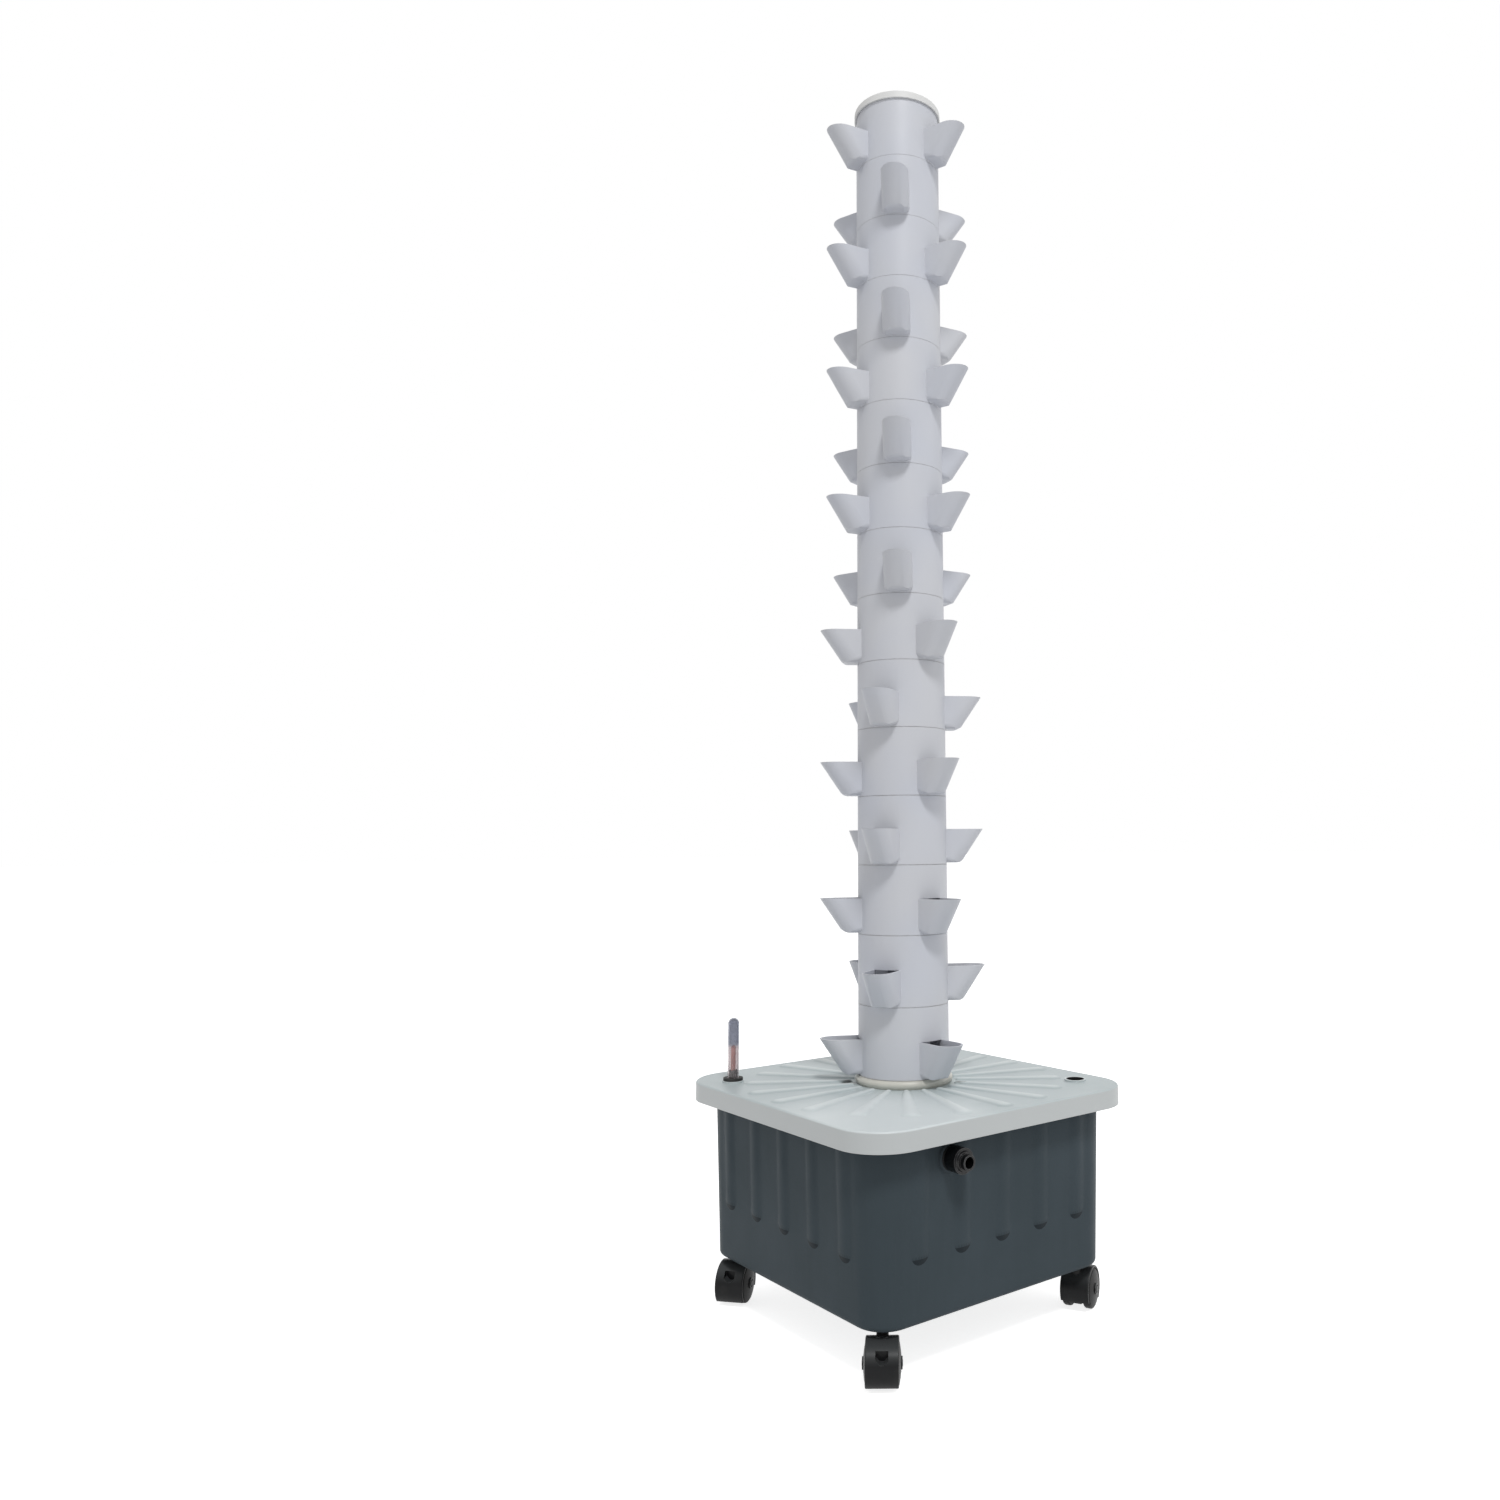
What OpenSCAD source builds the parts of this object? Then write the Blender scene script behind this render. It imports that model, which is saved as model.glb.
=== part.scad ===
// Hydroponic tower: a square nutrient tank on castors carries a column of planter tiers that turn on each other
// Millimetres. Origin at the centre of the base on the floor, +Z up, the inlet valve on the -Y face

/* [Tank] */
// Width of the lid from edge to edge
lid_width = 400; // [340:1:460]
// Height of the tank from its floor to its rim
tank_height = 201; // [180:1:260]
// Wall and floor thickness of the tank
tank_wall = 3; // [2:0.5:4]
// Outward ledge of the rim that carries the lid
rim_ledge = 18; // [10:1:24]
// Thickness of the rim ledge
rim_thickness = 3; // [2:0.5:5]
// Depth of the lip that hangs from the ledge's edge
rim_lip = 5; // [3:0.5:8]
// Half width lost from the rim to the floor of the tank
tank_draft = 7; // [3:1:12]
// Corner radius of the tank at its floor
tank_corner_r = 35; // [25:1:50]
// Radius of the edge round the tank's floor
tank_edge_r = 5; // [2:0.5:8]
// Play between the rim ledge and the lid's skirt
lid_play = 1.5; // [0.5:0.5:3]
// Ribs on each side of the tank
tank_rib_count = 5; // [3:1:6]
// Width of a tank rib
tank_rib_width = 24; // [16:1:28]
// Rise of a tank rib above the wall
tank_rib_rise = 2.5; // [1:0.5:4]
// Height of the ribs' lower ends above the tank's floor
tank_rib_foot = 59.5; // [30:0.5:90]
// Smooth wall between the outer rib and the corner
tank_rib_margin = 7; // [2:1:12]

/* [Lid] */
// Plate thickness of the lid
lid_thickness = 2.5; // [2:0.5:4]
// Wall thickness of the lid's skirt
lid_skirt_wall = 2.5; // [2:0.5:4]
// Depth of the skirt from the top of the lid
lid_drop = 22; // [14:1:30]
// Corner radius of the lid
lid_corner_r = 55; // [35:1:60]
// Radius of the lid's upper edge
lid_edge_r = 2.4; // [1:0.1:2.5]
// Radial ribs on the lid
lid_rib_count = 20; // [12:4:24]
// Half width of a lid rib at its outer end
lid_rib_outer = 12; // [8:0.5:14]
// Half width of a lid rib at its inner end
lid_rib_inner = 4.5; // [3:0.5:6]
// Rise of the lid ribs above the plate
lid_rib_rise = 2.6; // [1.5:0.1:4]
// Smooth border between the ribs and the edge of the lid
lid_border = 9; // [5:1:16]
// Radius of the two round ports in the lid
port_r = 10.5; // [8:0.5:12]
// Distance of the gauge's port from the lid's left and back edges
gauge_port_inset = [37, 67]; // [20:1:90]
// Distance of the open port from the lid's right and front edges
cable_port_inset = [42, 62]; // [20:1:90]

/* [Column] */
// Outer diameter of the column
column_d = 112; // [90:1:130]
// Wall thickness of a tier
tier_wall = 2.5; // [2:0.1:3.5]
// Height that each tier adds to the column
tier_pitch = 84.4; // [70:0.1:110]
// Number of tiers
tier_count = 15; // [8:1:15]
// Depth of the spigot that plugs into the tier below
spigot_depth = 10; // [6:1:14]
// Wall thickness of the spigot
spigot_wall = 2.2; // [1.6:0.1:3]
// Direction of one pocket of the lowest tier
first_pocket_angle = 270; // [0:1:359]
// Turn from one tier to the next
tier_stagger = 60; // [0:1:120]
// First tier of the upper stack, which stands turned on the lower one
upper_stack_from = 8; // [2:1:8]
// Turn of the upper stack on the lower one
upper_stack_turn = 19; // [0:1:60]
// Height of the collar between the lid and the column
collar_height = 9.6; // [6:0.1:14]
// Overhang of the collar past the column
collar_overhang = 4; // [2:0.5:6]

/* [Pocket] */
// Pockets round each tier
pocket_count = 3; // [2:1:3]
// Height of the pocket's rim above the foot of its tier
pocket_rim = 43.5; // [34:0.5:50]
// Height of the pocket's foot above the foot of its tier
pocket_lift = 1.5; // [0.6:0.1:4]
// Reach of the pocket's rim out from the column
pocket_out = 47.8; // [36:0.1:54]
// Half width of the pocket
pocket_half = 18; // [13:0.5:20]
// Lean of the pocket's front away from the column
pocket_lean = 34.2; // [24:0.1:38]
// Radius of the pocket's belly, seen from the side
pocket_belly_r = 16; // [10:0.5:18]
// Radius of the pocket's lower corners, seen from the front
pocket_corner_r = 8; // [5:0.5:12]
// Wall thickness of the pocket
pocket_wall = 2.2; // [1.6:0.1:3]

/* [Cap and distributor] */
// Thickness of the cap's plate
cap_thickness = 3.7; // [2.5:0.1:5]
// Depth of the cap's skirt from the top of the cap
cap_drop = 10; // [8:0.5:16]
// Wall thickness of the cap's skirt
cap_wall = 2.2; // [1.6:0.1:3]
// Depth of the distributor dish below its flange
dish_depth = 16; // [10:1:24]
// Thickness of the distributor's walls and flange
dish_wall = 2; // [1.5:0.1:3]
// Drip holes in the distributor
drip_count = 12; // [6:1:18]
// Radius of a drip hole
drip_r = 2.5; // [1.5:0.1:3]

/* [Riser and pump] */
// Outer radius of the riser pipe
riser_r = 10; // [8:0.5:12]
// Wall thickness of the riser pipe
riser_wall = 1.7; // [1.2:0.1:2]
// Width, depth and height of the pump's case
pump_size = [72, 62, 46]; // [46:1:80]
// Height of the pump's suction feet
pump_foot = 5; // [3:0.5:8]
// Radius of the impeller chamber
chamber_r = 16; // [13:0.5:18]
// Radius of the impeller's magnet rotor
rotor_r = 8.5; // [6:0.5:10]
// Radius of the impeller's shaft
pump_shaft_r = 1.5; // [1:0.1:2]
// Vanes on the impeller
vane_count = 6; // [4:1:8]

/* [Level gauge] */
// Outer radius of the clear gauge tube
gauge_r = 7; // [6:0.5:8]
// Wall thickness of the gauge tube
gauge_wall = 1.4; // [1:0.1:1.6]
// Height of the gauge tube
gauge_height = 71; // [50:1:90]
// Radius of the red float rod
float_rod_r = 2.8; // [2:0.1:3]
// Height of the rod's tip above the lid
float_rod_tip = 44; // [40:1:50]
// Radius of the slim float
float_r = 5; // [4.5:0.5:7]
// Length of the slim float
float_length = 70; // [40:1:90]

/* [Inlet valve] */
// Distance of the valve from the middle of its side
valve_offset = 78; // [40:1:90]
// Distance of the valve below the tank's rim
valve_below_rim = 40; // [34:1:60]
// Radius of the valve's body and of its gasket
valve_r = 13.5; // [12:0.5:18]
// Length of the valve's body outside the tank
valve_length = 17; // [10:1:22]
// Radius of the inlet nipple
nipple_r = 8; // [5:0.5:8]
// Length of the inlet nipple
nipple_length = 9; // [6:1:14]
// Radius of the valve's threaded shank
shank_r = 8.4; // [7:0.1:10]
// Length of the float arm from its pivot to the float
arm_length = 84; // [60:1:100]
// Radius of the valve's ball float
ball_r = 22; // [15:1:22]

/* [Castors] */
// Diameter of a castor wheel
wheel_d = 44; // [40:1:60]
// Width of a wheel at its hub
wheel_width = 11.4; // [8:0.1:16]
// Crown of a wheel's outer face from its rim to its hub
wheel_dome = 2.8; // [1:0.1:4]
// Width of the web between the two wheels
web_width = 15; // [14:0.5:20]
// Running gap beside and round a wheel
wheel_gap = 0.8; // [0.5:0.1:1.5]
// Wall thickness of the hood over the wheels
hood_wall = 2.2; // [1.5:0.1:3]
// Distance of the axle behind the swivel stem
castor_trail = 10.5; // [9:0.5:24]
// Radius of the swivel stem
stem_r = 4.8; // [4:0.1:5.5]
// Stem that shows between the hood and the tank
stem_show = 4; // [3:0.5:12]
// Radius of the axle
axle_r = 2.5; // [2:0.1:3]
// Distance of each stem from the two sides of the tank's floor
castor_inset = 26; // [22:1:40]
// Direction in which each castor trails: front left, front right, back left, back right
castor_turns = [231, 26, 219, 60]; // [0:1:359]

/* [Fits] */
// Gap between pieces that rest on each other
seat_gap = 0.3; // [0.1:0.1:0.5]
// Radial gap of the tiers' spigots and of other loose plugs
plug_gap = 0.3; // [0.2:0.1:0.6]
// Radial gap of a shaft that turns in its bore
running_gap = 0.05; // [0.02:0.01:0.1]

/* [Hidden] */
$fn = 96;
eps = 0.01;
tangent_tuck = 0.03;

corner_names = ["front_left", "front_right", "back_left", "back_right"];
corner_signs = [[-1, -1], [1, -1], [-1, 1], [1, 1]];

function two_digits(n) = n < 10 ? str("0", n) : str(n);
function tier_name(n) = str("tier_", two_digits(n));
function castor_name(i, piece) = str("castor_", corner_names[i], "_", piece);

tier_names = [for (n = [1 : tier_count]) tier_name(n)];
castor_pieces = ["stem", "hood", "axle", "wheel_a", "wheel_b"];
castor_names = [for (i = [0 : 3]) for (piece = castor_pieces) castor_name(i, piece)];

// Castor
wheel_r = wheel_d / 2;
hood_in_r = wheel_r + wheel_gap;
hood_r = hood_in_r + hood_wall;
boss_rise = 3;
castor_top = wheel_r + hood_r + boss_rise;
wheel_inner_y = web_width / 2 + wheel_gap;
wheel_outer_y = wheel_inner_y + wheel_width;
hood_edge_y = wheel_outer_y - wheel_dome + 0.4;
hub_cover = 1.5;
axle_end_gap = 0.7;
axle_half = wheel_outer_y - hub_cover - axle_end_gap;
stem_lift = 6;
stem_foot = wheel_r + stem_lift;
stem_head = 17;
stem_end_gap = 1;

// Tank
tank_z = castor_top + stem_show;
rim_z = tank_z + tank_height;
rim_half = lid_width / 2 - lid_skirt_wall - lid_play;
tank_top_half = rim_half - rim_ledge;
tank_floor_half = tank_top_half - tank_draft;
tank_straight = tank_floor_half - tank_corner_r;
wall_rise = tank_height - rim_thickness;
draft_angle = atan(tank_draft / wall_rise);
floor_z = tank_z + tank_wall;
stem_at = tank_floor_half - castor_inset;
tank_rib_pitch = 2 * (tank_straight - tank_rib_margin - tank_rib_width / 2) / (tank_rib_count - 1);

// Lid and ports
lid_z = rim_z + seat_gap + lid_thickness;
lid_straight = lid_width / 2 - lid_corner_r;
port_rim = 2.6;
port_rise = 2.2;
gauge_at = [-lid_width / 2 + gauge_port_inset[0], lid_width / 2 - gauge_port_inset[1]];
cable_at = [lid_width / 2 - cable_port_inset[0], -lid_width / 2 + cable_port_inset[1]];

// Column
column_r = column_d / 2;
bore_r = column_r - tier_wall;
spigot_r = bore_r - plug_gap;
spigot_bore_r = spigot_r - spigot_wall;
collar_r = column_r + collar_overhang;
collar_sleeve_r = bore_r + 3.2;
collar_z = lid_z + seat_gap;
column_z = collar_z + collar_height + seat_gap;
column_top = column_z + tier_count * tier_pitch;
dish_top = column_top + dish_wall;
cap_top = dish_top + seat_gap + cap_thickness;
cap_r = column_r + plug_gap + cap_wall;

// Riser and pump
nipple_bore_r = riser_r - riser_wall - plug_gap - 2.2;
outlet_r = riser_r - riser_wall - plug_gap;
outlet_rise = 20;
pump_z = floor_z + pump_foot;
pump_top = pump_z + pump_size[2];
pump_front = -14;
pump_axis_z = pump_z + pump_size[2] / 2;
chamber_depth = 16;
rotor_length = 24;
rotor_gap = 0.5;
well_end = pump_front + chamber_depth + rotor_length;
shaft_socket = 8;
strainer_depth = 14;
strainer_wall = 2;
strainer_front = pump_front - seat_gap - strainer_depth;
vane_height = 8;
riser_room = 5;
hub_bore_r = riser_r + riser_room;
hub_r = hub_bore_r + dish_wall;
dish_floor_z = dish_top - dish_wall - dish_depth;
riser_foot = pump_top + seat_gap;
riser_top = dish_floor_z + dish_depth - 2;

// Pocket: its front stands a crease inside the belly, and its sides a skin inside the lower corners
pocket_crease = 0.3;
pocket_skin = 0.05;
pocket_inner_x = spigot_bore_r - 4;
pocket_rim_x = column_r + pocket_out;
belly_z = pocket_lift + pocket_belly_r;
belly_x = pocket_rim_x - (pocket_rim - belly_z) * tan(pocket_lean)
    - (pocket_belly_r - pocket_crease) / cos(pocket_lean);

// Level gauge
grommet_z = lid_z + port_rise + seat_gap;
grommet_flange = 3;
grommet_neck = 9;
neck_r = gauge_r - gauge_wall - 0.1;
neck_bore_r = float_rod_r + plug_gap;
tube_z = grommet_z + grommet_flange + seat_gap;
float_drop = 34;
float_top = rim_z - float_drop;

// Inlet valve
valve_z = rim_z - valve_below_rim;
pad_r = valve_r + 2.5;
wall_y = tank_floor_half + (valve_z - tank_z) * tank_draft / wall_rise;
pad_y = wall_y + tank_rib_rise + 0.6;
gasket_t = 2;
nut_t = 8;
nut_round = 6;
pivot_inset = 27;
pivot_y = wall_y - pivot_inset;
pivot_r = 1.6;
arm_t = 5;
clevis_gap = arm_t + 2 * plug_gap;
clevis_ear = 3;
clevis_width = clevis_gap + 2 * clevis_ear;
ball_socket = 5;

// Frustum between two balls with the balls themselves, from a ball at the origin to one up the Z axis
// The frustum lies a hair inside the balls' common tangents, so that it crosses both in clean circles
module ball_bar(length, r_a, r_b) {
    lean = asin((r_b - r_a) / length);
    translate([0, 0, -r_a * sin(lean)])
        cylinder(
            h = length - (r_b - r_a) * sin(lean),
            r1 = r_a * cos(lean) - tangent_tuck,
            r2 = r_b * cos(lean) - tangent_tuck
        );
    sphere(r = r_a);
    translate([0, 0, length]) sphere(r = r_b);
}

// A profile carried round a square with round corners: x runs out from the corners' axes, y is the height
module square_sweep(straight) {
    for (q = [0 : 3]) rotate(90 * q) {
        translate([straight, straight, 0]) rotate_extrude(angle = 90) children();
        translate([straight, 0, 0]) rotate([90, 0, 0])
            linear_extrude(height = 2 * straight, center = true) children();
    }
}

// Radius of a bar that shows a crest of this half width and rise above a face
function crest_radius(half_width, rise) = (half_width * half_width + rise * rise) / (2 * rise);

// Outline of the tank's wall with its ledge and its rounded foot
module tank_profile() {
    foot_x = tank_corner_r + tank_edge_r * tan(draft_angle) - tank_edge_r / cos(draft_angle);
    top_x = tank_corner_r + tank_draft;
    ledge_x = top_x + rim_ledge;
    difference() {
        union() {
            polygon([
                [0, 0],
                [foot_x, 0],
                [foot_x + tank_edge_r * cos(draft_angle), tank_edge_r * (1 - sin(draft_angle))],
                [top_x, wall_rise],
                [ledge_x - lid_skirt_wall, wall_rise],
                [ledge_x - lid_skirt_wall, wall_rise - rim_lip],
                [ledge_x, wall_rise - rim_lip],
                [ledge_x, tank_height],
                [0, tank_height]
            ]);
            translate([foot_x, tank_edge_r]) circle(r = tank_edge_r);
        }
        polygon([
            [-1, tank_wall],
            [tank_corner_r - tank_wall, tank_wall],
            [top_x - tank_wall, tank_height + 1],
            [-1, tank_height + 1]
        ]);
    }
}

// Upright ribs with round feet on one side of the tank, kept to the outside of its wall
module tank_ribs() {
    bar_r = crest_radius(tank_rib_width / 2, tank_rib_rise);
    half_outside = [tank_floor_half - tank_wall / 2, tank_top_half - tank_wall / 2];
    intersection() {
        for (i = [0 : tank_rib_count - 1])
            translate([(i - (tank_rib_count - 1) / 2) * tank_rib_pitch, -tank_floor_half, 0])
                rotate([draft_angle, 0, 0])
                    translate([0, bar_r - tank_rib_rise, tank_rib_foot + tank_rib_width / 2])
                        ball_bar(tank_height, bar_r, bar_r + eps);
        rotate([90, 0, 90])
            linear_extrude(height = 2 * tank_straight, center = true)
                polygon([
                    [-half_outside[0], 0],
                    [-half_outside[1], wall_rise],
                    [-half_outside[1] - 8, wall_rise],
                    [-half_outside[0] - 8, 0]
                ]);
    }
}

module tank() {
    socket_r = stem_r + 6;
    color("slategray") difference() {
        translate([0, 0, tank_z]) union() {
            square_sweep(tank_straight) tank_profile();
            translate([-tank_straight, -tank_straight, 0])
                cube([2 * tank_straight, 2 * tank_straight, tank_wall]);
            for (q = [0 : 3]) rotate(90 * q) tank_ribs();
            for (s = corner_signs) translate([s[0] * stem_at, s[1] * stem_at, eps])
                cylinder(h = stem_head + tank_wall, r = socket_r);
            translate([-valve_offset, -wall_y + tank_wall / 2, valve_z - tank_z]) rotate([90, 0, 0])
                cylinder(h = pad_y - wall_y + tank_wall / 2, r = pad_r);
        }
        for (s = corner_signs) translate([s[0] * stem_at, s[1] * stem_at, tank_z - 1])
            cylinder(h = stem_head + 1 + seat_gap, r = stem_r + running_gap);
        translate([-valve_offset, -wall_y + tank_wall + 3, valve_z]) rotate([90, 0, 0])
            cylinder(h = tank_wall + 3 + pad_y, r = shank_r + plug_gap);
    }
}

// Outline of the lid's plate, upper edge and skirt
module lid_profile() {
    foot = lid_thickness - lid_drop;
    difference() {
        union() {
            translate([0, 0]) square([lid_corner_r - lid_edge_r, lid_thickness]);
            translate([lid_corner_r - lid_skirt_wall - 1, foot])
                square([lid_skirt_wall + 1, lid_drop - lid_edge_r]);
            translate([lid_corner_r - lid_edge_r, lid_thickness - lid_edge_r]) circle(r = lid_edge_r);
        }
        translate([0, foot - 1]) square([lid_corner_r - lid_skirt_wall, 1 - foot]);
    }
}

// Radial ribs that widen towards the lid's edge and end in a round
module lid_ribs() {
    inner_r = crest_radius(lid_rib_inner, lid_rib_rise);
    outer_r = crest_radius(lid_rib_outer, lid_rib_rise);
    start = collar_r + lid_rib_inner + 3;
    reach = lid_width / 2 - lid_border - lid_rib_outer;
    port_reach = norm(gauge_at) - port_r - port_rim - lid_rib_outer - 1;
    intersection() {
        for (i = [0 : lid_rib_count - 1]) rotate(i * 360 / lid_rib_count) {
            a = i * 360 / lid_rib_count;
            stop = min(reach / max(abs(cos(a)), abs(sin(a))), port_reach);
            drop = outer_r - inner_r;
            run = stop - start;
            translate([start, 0, lid_rib_rise - inner_r])
                rotate([0, 90 + atan(drop / run), 0])
                    ball_bar(norm([run, drop]), inner_r, outer_r);
        }
        translate([-lid_width / 2, -lid_width / 2, -lid_thickness / 2])
            cube([lid_width, lid_width, lid_rib_rise + lid_thickness]);
    }
}

module lid() {
    color("gainsboro") translate([0, 0, lid_z]) difference() {
        union() {
            translate([0, 0, -lid_thickness]) {
                square_sweep(lid_straight) lid_profile();
                translate([-lid_straight, -lid_straight, 0])
                    cube([2 * lid_straight, 2 * lid_straight, lid_thickness]);
            }
            lid_ribs();
            for (p = [gauge_at, cable_at]) translate([p[0], p[1], -lid_thickness / 2])
                cylinder(h = port_rise + lid_thickness / 2, r = port_r + port_rim);
        }
        translate([0, 0, -lid_thickness - 1])
            cylinder(h = 2 * lid_thickness + 4, r = collar_sleeve_r + plug_gap);
        for (p = [gauge_at, cable_at]) translate([p[0], p[1], -lid_thickness - 1])
            cylinder(h = lid_thickness + port_rise + 2, r = port_r);
    }
}

// Ring between the lid and the column, with a sleeve through the lid
module collar() {
    sleeve = 12;
    bead_r = collar_height / 2;
    color("antiquewhite") translate([0, 0, collar_z]) difference() {
        union() {
            cylinder(h = collar_height, r = collar_r - bead_r / 2);
            rotate_extrude() intersection() {
                translate([collar_r - bead_r, bead_r]) circle(r = bead_r);
                square([collar_r + 1, collar_height]);
            }
            translate([0, 0, -sleeve]) cylinder(h = sleeve + 1, r = collar_sleeve_r);
        }
        translate([0, 0, -sleeve - 1]) cylinder(h = sleeve + collar_height + 2, r = bore_r);
    }
}

// Leaning front of a pocket, round in plan, with all that lies behind it
module pocket_front(half) {
    far = 2 * pocket_rim;
    translate([pocket_rim_x - pocket_half / cos(pocket_lean), 0, pocket_rim])
        rotate([0, pocket_lean, 0]) translate([0, 0, -far]) {
            cylinder(h = 2 * far, r = half);
            translate([-far, -half, 0]) cube([far, 2 * half, 2 * far]);
        }
}

// Outline of a pocket seen from the side
module pocket_side(foot, belly) {
    tangent = [belly_x + belly * cos(pocket_lean), belly_z - belly * sin(pocket_lean)];
    polygon([
        [pocket_inner_x, foot],
        [belly_x, foot],
        tangent,
        [tangent[0] + (pocket_rim - tangent[1]) * tan(pocket_lean), pocket_rim],
        [pocket_inner_x, pocket_rim]
    ]);
    translate([belly_x, belly_z]) circle(r = belly);
}

// Outline of a pocket seen from the front
module pocket_face(half, foot, corner) {
    polygon([
        [corner - half, foot],
        [half - corner, foot],
        [half, foot + corner],
        [half, pocket_rim + 1],
        [-half, pocket_rim + 1],
        [-half, foot + corner]
    ]);
    for (y = [-1, 1]) translate([y * (half - corner), foot + corner]) circle(r = corner);
}

// The room of one pocket, or with an inset its hollow, on the +X side of a tier
module pocket_room(inset) {
    half = pocket_half - inset;
    foot = pocket_lift + inset;
    intersection() {
        pocket_front(half);
        rotate([90, 0, 0]) linear_extrude(height = 4 * pocket_half, center = true)
            pocket_side(foot, pocket_belly_r - inset);
        translate([pocket_inner_x - 1, 0, 0]) rotate([90, 0, 90]) linear_extrude(height = 2 * pocket_rim_x)
            pocket_face(half + pocket_skin, foot - pocket_skin, pocket_corner_r - inset);
    }
}

// Wall of one tier with the spigot under it
module tier_wall_ring() {
    rotate_extrude() polygon([
        [column_r, 0],
        [column_r, tier_pitch - seat_gap],
        [bore_r, tier_pitch - seat_gap],
        [bore_r, spigot_wall * 2.5],
        [spigot_bore_r, spigot_wall * 1.5],
        [spigot_bore_r, -spigot_depth],
        [spigot_r - 1, -spigot_depth],
        [spigot_r, 1 - spigot_depth],
        [spigot_r, 0]
    ]);
}

function tier_angle(n) = first_pocket_angle - (n % 2 == 0 ? tier_stagger : 0)
    + (n < upper_stack_from ? 0 : upper_stack_turn);

// Angles of the pockets round a tier
pocket_turns = [for (i = [0 : pocket_count - 1]) i * 360 / pocket_count];

// Open cup that leans out of the tier and drains back into it
module pocket_cup() {
    difference() {
        pocket_room(0);
        pocket_room(pocket_wall);
        translate([0, 0, -1]) cylinder(h = pocket_rim + 2, r = (bore_r + column_r) / 2);
    }
}

module tier(n) {
    color(n % 2 == 0 ? "ghostwhite" : "whitesmoke")
    translate([0, 0, column_z + (n - 1) * tier_pitch]) rotate(tier_angle(n)) union() {
        difference() {
            tier_wall_ring();
            for (a = pocket_turns) rotate(a) pocket_room(pocket_wall);
        }
        for (a = pocket_turns) rotate(a) pocket_cup();
    }
}

module top_cap() {
    edge = 2;
    color("whitesmoke") translate([0, 0, cap_top]) rotate_extrude() difference() {
        union() {
            translate([0, -cap_drop]) square([cap_r, cap_drop - edge]);
            translate([0, -cap_thickness]) square([cap_r - edge, cap_thickness]);
            translate([cap_r - edge, -edge]) circle(r = edge);
        }
        translate([-1, -cap_drop - 1]) square([cap_r - cap_wall + 1, cap_drop + 1 - cap_thickness]);
        translate([-cap_r, -cap_drop - 1]) square([cap_r, cap_drop + 2]);
    }
}

// Dish at the head of the column that spreads the pumped water over the tiers
module distributor() {
    drip_ring_r = (hub_r + spigot_r - dish_wall) / 2;
    hub_top = dish_depth - 6;
    color("lightgray") translate([0, 0, dish_floor_z]) difference() {
        rotate_extrude() polygon([
            [hub_bore_r, 0],
            [spigot_r, 0],
            [spigot_r, dish_depth],
            [column_r, dish_depth],
            [column_r, dish_depth + dish_wall],
            [spigot_r - dish_wall, dish_depth + dish_wall],
            [spigot_r - dish_wall, dish_wall],
            [hub_r, dish_wall],
            [hub_r, hub_top],
            [hub_bore_r, hub_top]
        ]);
        for (i = [0 : drip_count - 1]) rotate(i * 360 / drip_count)
            translate([drip_ring_r, 0, -1]) cylinder(h = dish_wall + 2, r = drip_r);
    }
}

module riser_pipe() {
    color("white") translate([0, 0, riser_foot]) difference() {
        cylinder(h = riser_top - riser_foot, r = riser_r);
        translate([0, 0, -1]) cylinder(h = riser_top - riser_foot + 2, r = riser_r - riser_wall);
    }
}

// Block with round upright edges, open for a bore in its front
module pump_block(size, edge) {
    translate([-size[0] / 2 + edge, 0, 0]) cube([size[0] - 2 * edge, size[1], size[2]]);
    translate([-size[0] / 2, edge, 0]) cube([size[0], size[1] - 2 * edge, size[2]]);
    for (x = [-1, 1]) for (y = [edge, size[1] - edge])
        translate([x * (size[0] / 2 - edge), y, 0]) cylinder(h = size[2], r = edge);
}

module pump_case() {
    edge = 6;
    color("dimgray") difference() {
        union() {
            translate([0, pump_front, pump_z]) pump_block(pump_size, edge);
            translate([0, 0, pump_top - 1]) cylinder(h = outlet_rise + 1, r = outlet_r);
        }
        translate([0, pump_front - 1, pump_axis_z]) rotate([-90, 0, 0])
            cylinder(h = chamber_depth + 1, r = chamber_r);
        translate([0, pump_front, pump_axis_z]) rotate([-90, 0, 0])
            cylinder(h = well_end - pump_front, r = rotor_r + rotor_gap);
        translate([0, well_end - 1, pump_axis_z]) rotate([-90, 0, 0])
            cylinder(h = shaft_socket + 1, r = pump_shaft_r + running_gap);
        translate([0, 0, pump_axis_z + chamber_r / 2])
            cylinder(h = pump_size[2] + outlet_rise, r = nipple_bore_r);
    }
}

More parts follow.
